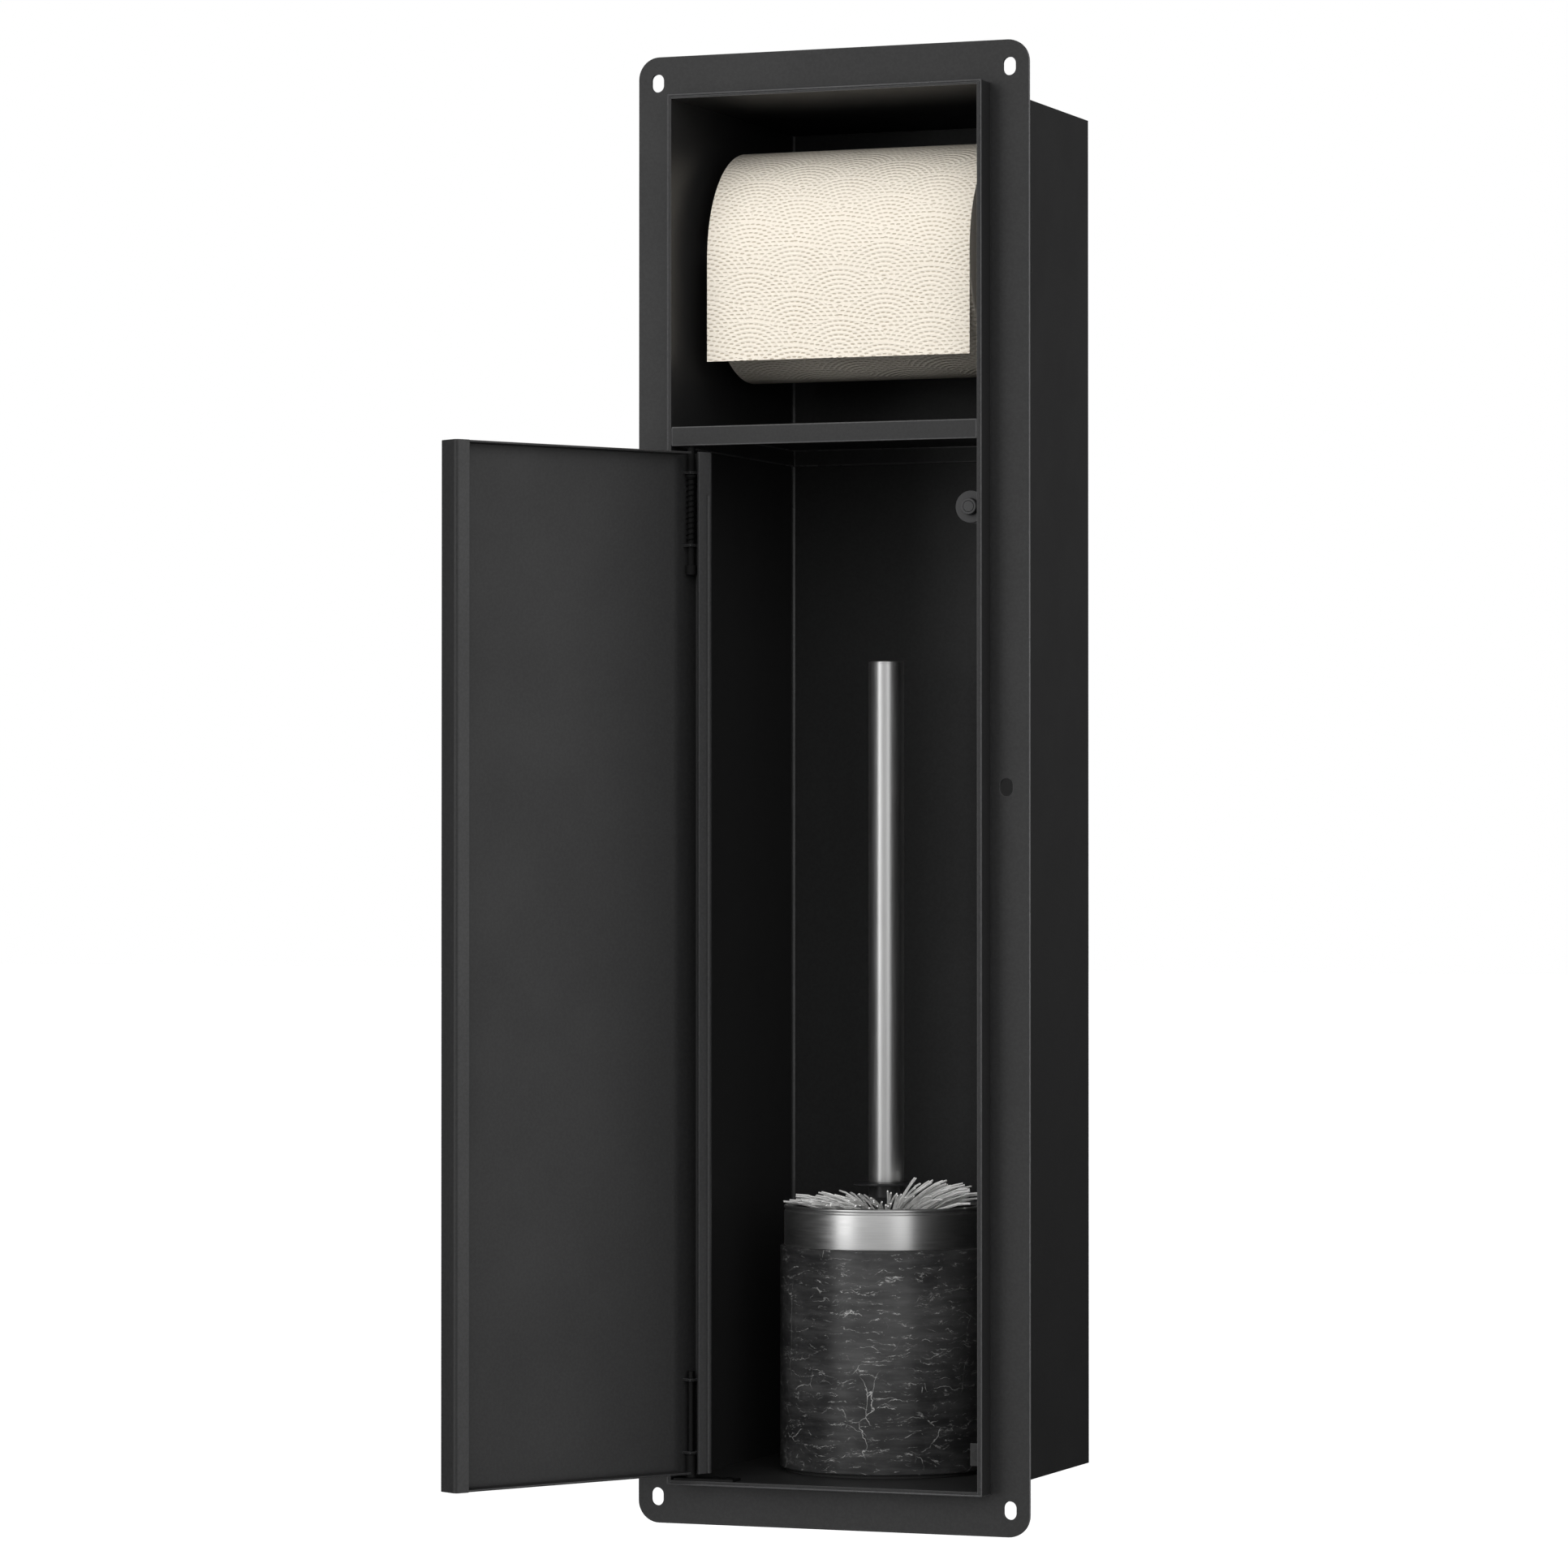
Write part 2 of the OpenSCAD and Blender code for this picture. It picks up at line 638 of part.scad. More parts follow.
module latch_magnet() color(bright_steel) on_latch_axis(plunger_tip_y) cylinder(r = magnet_r, h = magnet_l);

module latch_spring() color(bright_steel) {
  start = plunger_tip_y + plunger_l + seat_gap;
  length = barrel_back_y - barrel_end_t - seat_gap - start;
  on_latch_axis(start) coil(latch_coil_r, latch_wire, latch_turns, length);
}

// Door stop
module stop_bracket() color(black_steel) difference() {
  union() {
    translate([wall_x - stop_tab_w, stop_tab_y, stop_z - stop_h / 2]) cube([stop_tab_w, sheet_t, stop_h]);
    translate([wall_x - sheet_t, stop_tab_y, stop_z - stop_h / 2]) cube([sheet_t, stop_l, stop_h]);
  }
  translate([wall_x - sheet_t - over, stop_point[0], stop_point[1]])
    along_x() cylinder(r = rivet_r + run_gap, h = sheet_t + 2 * over);
}

module stop_bumper() color("#8a8a88") translate([bumper_x, stop_tab_y - bumper_t, stop_z])
  along_y() cylinder(r = bumper_d / 2, h = bumper_t);

module stop_rivet() color(bright_steel) translate([wall_x - sheet_t, stop_point[0], stop_point[1]])
  along_x() rivet(2 * sheet_t);

// Holder
module at_holder(z) translate([0, holder_in, z]) children();

module holder_foot() color("#111111") at_holder(floor_z) cylinder(r = pad_r, h = pad_t);

module holder_sleeve() color("#3c3b3b") at_holder(pad_top) difference() {
  cylinder(d = sleeve_d, h = sleeve_h);
  translate([0, 0, -over]) cylinder(r = sleeve_d / 2 - sleeve_wall, h = sleeve_h + 2 * over);
}

module holder_ring() color(bright_steel) at_holder(sleeve_top) difference() {
  union() {
    cylinder(r = ring_r, h = ring_h - ring_bead_r);
    translate([0, 0, ring_h - ring_bead_r]) rotate_extrude()
      translate([ring_r - ring_bead_r, 0]) circle(ring_bead_r);
  }
  translate([0, 0, -over]) cylinder(r = ring_r - ring_t, h = ring_h - ring_bead_r + over);
  translate([0, 0, -over]) cylinder(r = ring_r - 2 * ring_bead_r, h = ring_h + 2 * over);
}

module holder_liner() color(dark_plastic) at_holder(pad_top) difference() {
  cylinder(r = min(liner_r, sleeve_d / 2 - sleeve_wall - run_gap), h = liner_top - pad_top);
  translate([0, 0, liner_floor]) cylinder(r = liner_in_r, h = liner_top - pad_top);
}

// Brush
module brush_handle() color(bright_steel) at_holder(handle_bottom) difference() {
  cylinder(r = handle_r, h = handle_l - cap_t);
  translate([0, 0, -over]) cylinder(r = handle_r - handle_wall, h = handle_l - cap_t + 2 * over);
}

module handle_cap() color(bright_steel) at_holder(handle_top - cap_t) {
  intersection() {
    cylinder(r = handle_r, h = cap_t);
    translate([0, 0, cap_t - cap_dome_r]) sphere(cap_dome_r, $fn = 200);
  }
  translate([0, 0, -cap_plug_l]) cylinder(r = handle_r - handle_wall - run_gap, h = cap_plug_l + cap_t / 2);
}

module drip_disc() color(dark_plastic) at_holder(disc_z) difference() {
  cylinder(d = disc_d, h = disc_t);
  translate([0, 0, -over]) cylinder(r = stem_r + run_gap, h = disc_t + 2 * over);
}

module brush_ferrule() color(dark_plastic) at_holder(0) {
  translate([0, 0, ferrule_z]) cylinder(r = handle_r, h = ferrule_h);
  translate([0, 0, stem_top]) cylinder(r1 = stem_r, r2 = handle_r, h = ferrule_taper_h);
  translate([0, 0, ferrule_z]) cylinder(r = stem_r, h = ferrule_h + disc_t + ferrule_plug_l);
}

// A strand: a three-sided rod that thins towards its tip, from a point inside the stem
module strand(from, to) {
  axis = (to - from) / norm(to - from);
  side = [-axis[1], axis[0], 0] / norm([axis[0], axis[1], 0]);
  lift = cross(axis, side);
  r = strand_d / 2;
  ring = [for (a = [90, 210, 330]) r * (cos(a) * side + sin(a) * lift)];
  polyhedron(
    points = concat([for (p = ring) from + p], [for (p = ring) to + strand_taper * p]),
    faces = [[0, 1, 2], [3, 5, 4], [0, 3, 1], [1, 3, 4], [1, 4, 2], [2, 4, 5], [2, 5, 0], [0, 5, 3]]);
}
function turned(r, a, z) = [r * cos(a), r * sin(a), z];

// The fan stands higher on the right than on the left, and opens out over the ring
fan_first_r = 20.5;
fan_over_ring = 1.9;
fan_last_r = ring_r + fan_over_ring;
fan_rise = 12.2;
fan_lean = 3;
fan_rim_gap = 2.6;
function fan_tip_r(t) = fan_first_r + (fan_last_r - fan_first_r) * pow(t, 0.75);
function fan_bow(t) = pow(1 - t, 0.6) * (1 - 0.25 * pow(1 - t, 3));
function fan_tip_z(t, a) = ring_top + fan_rim_gap + (fan_rise - fan_rim_gap + fan_lean * cos(a)) * fan_bow(t);

module bristle_fan() color("#cfcdc6") at_holder(0) {
  translate([0, 0, stem_split]) cylinder(r = stem_r, h = stem_top - stem_split);
  for (i = [0 : fan_count - 1]) {
    t = i / (fan_count - 1);
    a = i * golden_angle;
    strand(turned(root_r, a, fan_root_top - fan_root_h * t), turned(fan_tip_r(t), a, fan_tip_z(t, a)));
  }
}

module bristle_body() color("#cfcdc6") at_holder(0) {
  reach = liner_in_r - 2 * strand_d;
  translate([0, 0, stem_bottom]) cylinder(r = stem_r, h = stem_split - stem_bottom);
  for (i = [0 : inner_count - 1]) {
    t = i / (inner_count - 1);
    z = inner_high - (inner_high - inner_low) * t;
    a = i * golden_angle;
    strand(turned(root_r, a, z), turned(reach, a, z + (reach - root_r) * inner_slope * (1 - t)));
  }
}

module brush_tip() color(dark_plastic) at_holder(tip_bottom)
  cylinder(r = tip_r, h = stem_bottom - tip_bottom);

wall_flange();
collar();
left_wall();
right_wall();
top_wall();
bottom_wall();
back_panel();
divider_shelf();
left_roll_cup();
right_roll_cup();
cup_rivets();
spindle_outer_sleeve();
spindle_inner_sleeve();
spindle_spring();
card_core();
paper_roll();
outer_sheet();
door_tray();
upper_hinge_carrier();
lower_hinge_carrier();
upper_pivot_pin();
pin_spring();
upper_pivot_block();
lower_pivot_plate();
lower_pivot_rivets();
lower_spacer();
latch_housing();
latch_clip();
latch_screws();
latch_plunger();
latch_magnet();
latch_spring();
stop_bracket();
stop_bumper();
stop_rivet();
holder_foot();
holder_sleeve();
holder_ring();
holder_liner();
brush_handle();
handle_cap();
drip_disc();
brush_ferrule();
bristle_fan();
bristle_body();
brush_tip();
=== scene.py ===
"""Looks of a wall cabinet for a toilet roll and a brush, modelled round its packed frame."""

import math
import random

import bpy
from mathutils import Matrix, Vector


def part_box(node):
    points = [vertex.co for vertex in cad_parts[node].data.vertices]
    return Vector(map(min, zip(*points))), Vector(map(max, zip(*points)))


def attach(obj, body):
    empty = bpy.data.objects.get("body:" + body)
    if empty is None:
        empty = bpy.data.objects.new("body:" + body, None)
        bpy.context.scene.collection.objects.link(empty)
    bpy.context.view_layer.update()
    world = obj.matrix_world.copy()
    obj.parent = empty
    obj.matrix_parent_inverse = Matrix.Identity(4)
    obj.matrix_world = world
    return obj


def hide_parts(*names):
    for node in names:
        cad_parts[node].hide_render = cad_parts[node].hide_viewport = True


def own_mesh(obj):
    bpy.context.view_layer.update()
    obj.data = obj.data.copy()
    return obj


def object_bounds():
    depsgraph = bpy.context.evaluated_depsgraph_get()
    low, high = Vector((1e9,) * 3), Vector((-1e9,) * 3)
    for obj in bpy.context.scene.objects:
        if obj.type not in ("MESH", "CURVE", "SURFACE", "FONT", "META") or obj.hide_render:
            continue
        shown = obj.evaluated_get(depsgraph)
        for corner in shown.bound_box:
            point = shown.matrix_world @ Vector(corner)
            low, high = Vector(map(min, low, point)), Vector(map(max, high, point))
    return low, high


bl_info = {
    "name": "Toilet Roll Cabinet",
    "version": (1, 0, 0),
    "blender": (4, 5, 0),
    "location": "View3D > Sidebar > Cabinet",
    "description": "Black steel wall cabinet with a paper roll, a hinged tray door and a brush in its holder",
    "category": "Object",
}

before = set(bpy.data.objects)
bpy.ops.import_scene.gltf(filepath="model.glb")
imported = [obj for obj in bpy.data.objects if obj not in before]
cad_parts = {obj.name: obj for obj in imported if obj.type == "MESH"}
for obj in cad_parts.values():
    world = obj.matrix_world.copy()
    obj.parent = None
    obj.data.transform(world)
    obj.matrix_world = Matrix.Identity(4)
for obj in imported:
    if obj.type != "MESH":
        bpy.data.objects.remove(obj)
CAD_BOX = [list(corner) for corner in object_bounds()]

# The photograph's view: lens, place and turn of the camera
LENS, SENSOR = 138.94, 36
CAMERA_PLACE, CAMERA_TURN = (0.8670, -2.2933, -0.0298), (90.735, 0, 21.173)

# The softboxes: setting of the power, degrees left of the front and up, distance, width and height
SOFTBOXES = (
    ("key", 33, 12, 1.7, (0.95, 2.2)),
    ("fill", -46, 12, 1.7, (1.1, 2.2)),
    ("side", -90, 2, 1.9, (1.4, 2.2)),
)

# Depth of the flange's cut edge that gets a painted highlight, and size of the fillet of coat in the box's
# corners
CUT_HIGHLIGHT_REACH, FILLET = 0.0008, 0.0011

# The door's pivot and how far it stands open; then on the closed door, the height of its lips, whose faces
# get painted light, and the flanges folded in at its ends
DOOR_PIVOT, DOOR_OPEN = (-0.0586, -0.0083), math.radians(120)
LIP_Y = -0.0022
HEM_SPAN, HEM_REACH, HEM_T = (-0.054, 0.06325), (-0.01085, -0.00225), 0.0008

# Their springs: radius of the turns, wire and number of turns
SPINDLE_COIL, PIN_COIL, LATCH_COIL = (0.0075, 0.0012, 12), (0.00195, 0.0004, 12), (0.0027, 0.0005, 8)

# The paper roll: axis, radius and half width, card tube, and the radii that the wound paper fills
ROLL_Y, ROLL_Z, ROLL_R, ROLL_HALF = 0.053, 0.217, 0.048, 0.057
TUBE_IN_R, TUBE_R, WOUND_IN_R, WOUND_R = 0.020, 0.021, 0.02105, ROLL_R - 0.00045

# Its last turn: height of the free edge, how far it goes round and its thickness
TAIL_Z, SHEET_WRAP, SHEET_T = 0.175, math.radians(150), 0.0004

# How near the roll's front counts as the hanging end, and how near its axis as the cut end
FRONT_REACH, CUT_END_R = 0.0006, 0.03

# Its embossing: shift of the pattern, stretch of the arches, half a dash's length and width, rings' stagger
ARCH_SHIFT, ARCH_STRETCH = 0.0005, 1.28
DASH_HALF_L, DASH_HALF_W, RING_STAGGER = 0.00098, 0.0004, 0.37

# The holder: axis and middle, foot, sleeve, rolled ring with the groove under its bead, and liner
HOLDER_Y, HOLDER_Z = 0.0625, -0.235
FOOT_R = 0.0425
SLEEVE_LOW, SLEEVE_TOP, SLEEVE_R, SLEEVE_WALL = -0.2798, -0.1885, 0.044, 0.0024
RING_TOP, RING_R, RING_T, RING_BEAD = -0.1716, 0.0424, 0.001, 0.0008
RING_WALL_R, GROOVE_HIGH, GROOVE_LOW, GROOVE_DEPTH = RING_R - 0.00015, 0.0013, 0.0018, 0.0004
LINER_WALL, LINER_FLOOR = 0.0015, 0.002

# The brush: handle, its cap's rim, and stem
HANDLE_R, HANDLE_WALL, CAP_RIM = 0.00725, 0.001, 0.0012
STEM_R, STEM_LOW, STEM_TOP = 0.0045, -0.2633, -0.1718
DISC_GAP = 0.00005

# Its bristles: degrees from a bundle to the next, how deep they are set, where the outer ones start under the
# stem's top, their reach and rise, the heights and reach of the inner ones, and how far those that reach the
# ring's rim stay above it
BUNDLE_TURN, ROOT_DEPTH, ROOT_DROP, ROOT_SPAN = 137.508, 0.001, 0.0022, 0.015
FAN_IN_R, FAN_R = 0.0205, RING_R + 0.0012
FAN_LOW, FAN_RISE, FAN_RIGHT, FAN_LEFT = RING_TOP + 0.0004, 0.0008, 0.0125, 0.0024
INNER_LOW, INNER_HIGH, INNER_R = -0.2618, -0.193, 0.0374
RIM_REACH, RIM_CLEAR = 0.0375, 0.0011

# What the colour settings have in common
COLOUR = {"subtype": "COLOR", "size": 3, "min": 0, "max": 1}


class CoatSettings(bpy.types.PropertyGroup):
    """Black powder coat of the sheet steel"""

    colour: bpy.props.FloatVectorProperty(
        name="Coat colour", description="Base colour of the powder coat", default=(0.0165, 0.0165, 0.0168),
        **COLOUR)
    roughness: bpy.props.FloatProperty(
        name="Satin", description="Roughness of the cured coat", default=0.43, min=0.05, max=1,
        subtype="FACTOR")
    grain: bpy.props.FloatProperty(
        name="Grain", description="Size of the coat's orange peel", default=0.0011, min=0.0003, unit="LENGTH")
    edge: bpy.props.FloatProperty(
        name="Edge", description="Rounding that the coat gives to a cut edge", default=0.00038, min=0.00005,
        unit="LENGTH")


class PaperSettings(bpy.types.PropertyGroup):
    """Embossed paper and the card tube"""

    colour: bpy.props.FloatVectorProperty(
        name="Paper colour", description="Colour of the tissue", default=(0.9, 0.83, 0.72), **COLOUR)
    card: bpy.props.FloatVectorProperty(
        name="Card colour", description="Colour of the tube", default=(0.42, 0.31, 0.2), **COLOUR)
    arch: bpy.props.FloatProperty(
        name="Arch", description="Half the width of an embossed arch", default=0.0196, min=0.005,
        unit="LENGTH")
    row: bpy.props.FloatProperty(
        name="Row", description="Step from one row of arches to the next", default=0.0103, min=0.003,
        unit="LENGTH")
    ring: bpy.props.FloatProperty(
        name="Ring", description="Step between the dashed rings of an arch", default=0.0024, min=0.001,
        unit="LENGTH")
    dash: bpy.props.FloatProperty(
        name="Dash", description="Step between the dashes of a ring", default=0.0024, min=0.001,
        unit="LENGTH")
    depth: bpy.props.FloatProperty(
        name="Depth", description="Depth of an embossed dash", default=0.00034, min=0, unit="LENGTH")


class HolderSettings(bpy.types.PropertyGroup):
    """Marbled sleeve and steel of the brush holder"""

    dark: bpy.props.FloatVectorProperty(
        name="Glaze ground", description="Darkest tone of the marbled glaze", default=(0.016, 0.016, 0.0165),
        **COLOUR)
    light: bpy.props.FloatVectorProperty(
        name="Glaze cloud", description="Tone of the glaze's lighter clouds", default=(0.072, 0.072, 0.072),
        **COLOUR)
    vein: bpy.props.FloatVectorProperty(
        name="Vein", description="Tone of the fine veins", default=(0.5, 0.5, 0.49), **COLOUR)
    steel: bpy.props.FloatVectorProperty(
        name="Steel", description="Colour of the bright steel", default=(0.88, 0.88, 0.875), **COLOUR)


class BrushSettings(bpy.types.PropertyGroup):
    """Bristles of the brush"""

    colour: bpy.props.FloatVectorProperty(
        name="Bristle colour", description="Colour of the bristles", default=(0.97, 0.965, 0.95), **COLOUR)
    tufts: bpy.props.IntProperty(
        name="Tufts", description="Bundles in the part that opens over the ring", default=50, min=20, max=200)
    strands: bpy.props.IntProperty(
        name="Strands", description="Bristles in a bundle", default=3, min=2, max=16)
    thickness: bpy.props.FloatProperty(
        name="Thickness", description="Diameter of a bristle", default=0.001, min=0.0002, unit="LENGTH")
    seed: bpy.props.IntProperty(name="Seed", description="Start of the bristles' spread", default=7, min=0)


class StudioSettings(bpy.types.PropertyGroup):
    """Lamps, floor and surroundings"""

    key: bpy.props.FloatProperty(
        name="Key", description="Power of the softbox left of the front", default=7.0, min=0, unit="POWER")
    fill: bpy.props.FloatProperty(
        name="Fill", description="Power of the softbox right of the front", default=4.0, min=0, unit="POWER")
    side: bpy.props.FloatProperty(
        name="Side", description="Power of the softbox on the right side", default=11.0, min=0, unit="POWER")
    sky: bpy.props.FloatProperty(
        name="Sky", description="Even light from the front half of the room", default=2.45, min=0, max=5)
    shine: bpy.props.FloatProperty(
        name="Shine", description="Brightness of the room as gloss and metal show it", default=0.38, min=0,
        max=1)
    floor_drop: bpy.props.FloatProperty(
        name="Floor", description="How far the floor lies under the cabinet", default=0.35, min=0,
        unit="LENGTH")


SETTINGS = {
    "cabinet_coat": CoatSettings,
    "cabinet_paper": PaperSettings,
    "cabinet_holder": HolderSettings,
    "cabinet_brush": BrushSettings,
    "cabinet_studio": StudioSettings,
}


# Modelling

# Degrees from which an edge is rounded, and shaded as one
SHARP = 35.0


def clear_selection():
    """Leaves edit mode and deselects everything."""
    active = bpy.context.view_layer.objects.active
    if active is not None and active.mode != "OBJECT":
        bpy.ops.object.mode_set(mode="OBJECT")
    bpy.ops.object.select_all(action="DESELECT")


def hold(piece):
    """Makes one piece the only selected and the active one."""
    clear_selection()
    piece.select_set(True)
    bpy.context.view_layer.objects.active = piece


def edit_all(piece):
    """Opens a piece for editing with all of it selected."""
    hold(piece)
    bpy.ops.object.mode_set(mode="EDIT")
    bpy.ops.mesh.select_mode(type="VERT")
    bpy.ops.mesh.select_all(action="SELECT")


def named(name):
    """Names the object that the last operator made, and its mesh."""
    piece = bpy.context.view_layer.objects.active
    piece.name = name
    piece.data.name = name
    return piece


def mount(piece, body, slot, *nodes, look=None):
    """Puts a piece on its body, in its slot's finish or another, in place of the nodes it stands for."""
    if len(piece.data.materials) < 2:
        piece.data.materials.clear()
        piece.data.materials.append(finish(look or slot))
    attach(piece, body)
    if nodes:
        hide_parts(*nodes)


def apply_modifier(piece, kind, label, **settings):
    """Adds a modifier to a piece and applies it."""
    hold(piece)
    modifier = piece.modifiers.new(label, kind)
    for key, value in settings.items():
        setattr(modifier, key, value)
    bpy.ops.object.modifier_apply(modifier=modifier.name)


def soften(piece, width, material=-1):
    """Rounds the sharp edges of a piece, in a material of its own if one is given."""
    apply_modifier(piece, "BEVEL", "Softened edges", width=width, segments=2, material=material,
                   limit_method="ANGLE", angle_limit=math.radians(SHARP), harden_normals=False)


def smooth(piece, angle=SHARP):
    """Shades a piece smoothly up to an angle."""
    hold(piece)
    bpy.ops.object.shade_smooth_by_angle(angle=math.radians(angle))


def dressed(node, name, edge, edge_highlight_pair=None):
    """A copy of a frame piece with its loose triangles joined and its edges rounded."""
    piece = bpy.data.objects.new(name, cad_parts[node].data.copy())
    piece.data.name = name
    piece.data.materials.clear()
    for material in edge_highlight_pair or ():
        piece.data.materials.append(material)
    bpy.context.scene.collection.objects.link(piece)
    hold(piece)
    if piece.data.has_custom_normals:
        bpy.ops.mesh.customdata_custom_splitnormals_clear()
    edit_all(piece)
    bpy.ops.mesh.remove_doubles(threshold=0.000002)
    bpy.ops.mesh.dissolve_limited(angle_limit=math.radians(0.3))
    bpy.ops.object.mode_set(mode="OBJECT")
    soften(piece, edge, material=1 if edge_highlight_pair else -1)
    smooth(piece)
    apply_modifier(piece, "WEIGHTED_NORMAL", "Flat faces", mode="FACE_AREA", weight=100, keep_sharp=True)
    return piece


def face_outwards():
    """Turns all faces of the piece that is being edited outwards, and leaves edit mode."""
    bpy.ops.mesh.select_all(action="SELECT")
    bpy.ops.mesh.normals_make_consistent(inside=False)
    bpy.ops.object.mode_set(mode="OBJECT")


def raise_outline(piece, height):
    """Extrudes a flat outline upwards."""
    edit_all(piece)
    bpy.ops.mesh.extrude_region_move(TRANSFORM_OT_translate={"value": (0, 0, height)})
    face_outwards()


def section(inner, outer, low, high, *softness):
    """Corners of half the section of a tube or rod, with their softness, from the inner low one round."""
    places = ((inner, low), (outer, low), (outer, high), (inner, high))
    return [(*place, soft) for place, soft in zip(places, softness)]


def rounded(corners, closed):
    """An outline of (radius, height, softness) corners with each corner cut round in a few bites."""
    bites = 3
    outline = []
    count = len(corners)
    for i, (radius, height, softness) in enumerate(corners):
        here = Vector((radius, height))
        if softness == 0 or (not closed and i in (0, count - 1)):
            outline.append(here)
            continue
        before = Vector(corners[i - 1][:2]) - here
        after = Vector(corners[(i + 1) % count][:2]) - here
        reach = softness / math.tan(before.angle(after) / 2)
        start = here + before.normalized() * reach
        end = here + after.normalized() * reach
        for step in range(bites + 1):
            t = step / bites
            outline.append((1 - t) ** 2 * start + 2 * t * (1 - t) * here + t * t * end)
    if closed:
        outline.append(outline[0].copy())
    return outline


TURNS = {
    "X": Matrix.Rotation(math.pi / 2, 4, "Y"),
    "Y": Matrix.Rotation(-math.pi / 2, 4, "X"),
    "Z": Matrix.Identity(4),
}


def stand(piece, centre, along):
    """Moves a mesh that was made on the origin, along Z, to its place and axis."""
    piece.data.transform(Matrix.Translation(centre) @ TURNS[along])
    piece.data.update()


def turned(name, corners, centre, along="Z", closed=True, steps=96, angle=SHARP):
    """Spins an outline of (radius, height, softness) corners round an axis through centre."""
    clear_selection()
    bpy.ops.mesh.primitive_plane_add(size=0.01, location=(0, 0, 0))
    piece = named(name)
    edit_all(piece)
    bpy.ops.mesh.merge(type="CENTER")
    places = [Vector((point[0], 0, point[1])) for point in rounded(corners, closed)]
    bpy.ops.transform.translate(value=places[0])
    for here, there in zip(places, places[1:]):
        bpy.ops.mesh.extrude_region_move(TRANSFORM_OT_translate={"value": there - here})
    bpy.ops.mesh.select_all(action="SELECT")
    bpy.ops.mesh.spin(steps=steps, angle=2 * math.pi, center=(0, 0, 0), axis=(0, 0, 1))
    bpy.ops.mesh.select_all(action="SELECT")
    bpy.ops.mesh.remove_doubles(threshold=0.000001)
    face_outwards()
    stand(piece, centre, along)
    smooth(piece, angle)
    return piece


def spring(name, low, high, centre, along, radius, wire, turns):
    """Winds a round wire from low to high along an axis."""
    clear_selection()
    bpy.ops.mesh.primitive_circle_add(vertices=8, radius=wire / 2)
    piece = named(name)
    upright = Matrix.Rotation(math.pi / 2, 4, "X")
    piece.data.transform(Matrix.Translation((radius, 0, low + wire / 2)) @ upright)
    apply_modifier(piece, "SCREW", "Turns", axis="Z", screw_offset=(high - low - wire) / turns,
                   iterations=turns, steps=20, render_steps=20, use_merge_vertices=False)
    edit_all(piece)
    bpy.ops.mesh.fill_holes(sides=0)
    face_outwards()
    stand(piece, centre, along)
    smooth(piece, 50)
    return piece


def strands(name, paths, thickness):
    """Draws a rod along each path of (place, share of thickness) points, as one mesh."""
    clear_selection()
    curve = bpy.data.curves.new(name, "CURVE")
    curve.dimensions = "3D"
    curve.bevel_depth = thickness / 2
    curve.bevel_resolution = 0
    curve.use_fill_caps = True
    for path in paths:
        spline = curve.splines.new("POLY")
        spline.points.add(len(path) - 1)
        for point, (place, share) in zip(spline.points, path):
            point.co = (*place, 1)
            point.radius = share
    piece = bpy.data.objects.new(name, curve)
    bpy.context.scene.collection.objects.link(piece)
    hold(piece)
    bpy.ops.object.convert(target="MESH")
    piece = named(name)
    smooth(piece, 60)
    return piece


# Finishes

def put(tree, kind, wires=None, **settings):
    """Adds a node, sets it, and wires or fills its inputs."""
    node = tree.nodes.new(kind)
    for key, value in settings.items():
        setattr(node, key, value)
    for key, value in (wires or {}).items():
        socket = node.inputs[key]
        if isinstance(value, bpy.types.NodeSocket):
            tree.links.new(value, socket)
        else:
            socket.default_value = value
    return node


def sums(tree, operation, *values, clamp=False):
    """Adds a math node and returns its result."""
    wires = dict(enumerate(values))
    return put(tree, "ShaderNodeMath", wires, operation=operation, use_clamp=clamp).outputs[0]


def times(tree, first, second):
    """The product of two values."""
    return sums(tree, "MULTIPLY", first, second)


def minus(tree, first, second):
    """The difference of two values."""
    return sums(tree, "SUBTRACT", first, second)


def distance(tree, side, rise):
    """The length of a flat step."""
    return sums(tree, "SQRT", sums(tree, "ADD", times(tree, side, side), times(tree, rise, rise)))


def vector_sums(tree, operation, *values, **wires):
    """Adds a vector math node."""
    return put(tree, "ShaderNodeVectorMath", dict(enumerate(values)) | wires, operation=operation)


def reflected(tree, path):
    """1 for the rays by which gloss and glass show the surroundings."""
    return sums(tree, "MAXIMUM", path.outputs["Is Glossy Ray"], path.outputs["Is Transmission Ray"])


def ease(tree, value, low, high, start=0.0, end=1.0):
    """Maps low..high smoothly to start..end."""
    wires = {"Value": value, "From Min": low, "From Max": high, "To Min": start, "To Max": end}
    return put(tree, "ShaderNodeMapRange", wires, interpolation_type="SMOOTHSTEP").outputs[0]


def blend_colours(tree, share, first, second):
    """Mixes two colours by a share."""
    node = put(tree, "ShaderNodeMix", {"Factor": share}, data_type="RGBA")
    for socket, value in ((node.inputs[6], first), (node.inputs[7], second)):
        if isinstance(value, bpy.types.NodeSocket):
            tree.links.new(value, socket)
        else:
            socket.default_value = (*value[:3], 1)
    return node.outputs[2]


def toned(colour, share):
    """A colour made darker or lighter."""
    return [min(1, c * share) for c in colour]


def tones(tree, value, low, high, first, second):
    """Goes from one colour to another as a value goes from low to high."""
    return blend_colours(tree, ease(tree, value, low, high), first, second)


def varied(tree, value, middle, less, more=None):
    """Varies a roughness round its middle with a noise."""
    return ease(tree, value, 0.25, 0.75, middle - less, middle + (more or less))


def noise(tree, place, size, detail=2.0, roughness=0.5):
    """Cloudy noise whose features are about a size across."""
    wires = {"Vector": place, "Scale": 1 / size, "Detail": detail, "Roughness": roughness}
    return put(tree, "ShaderNodeTexNoise", wires).outputs["Fac"]


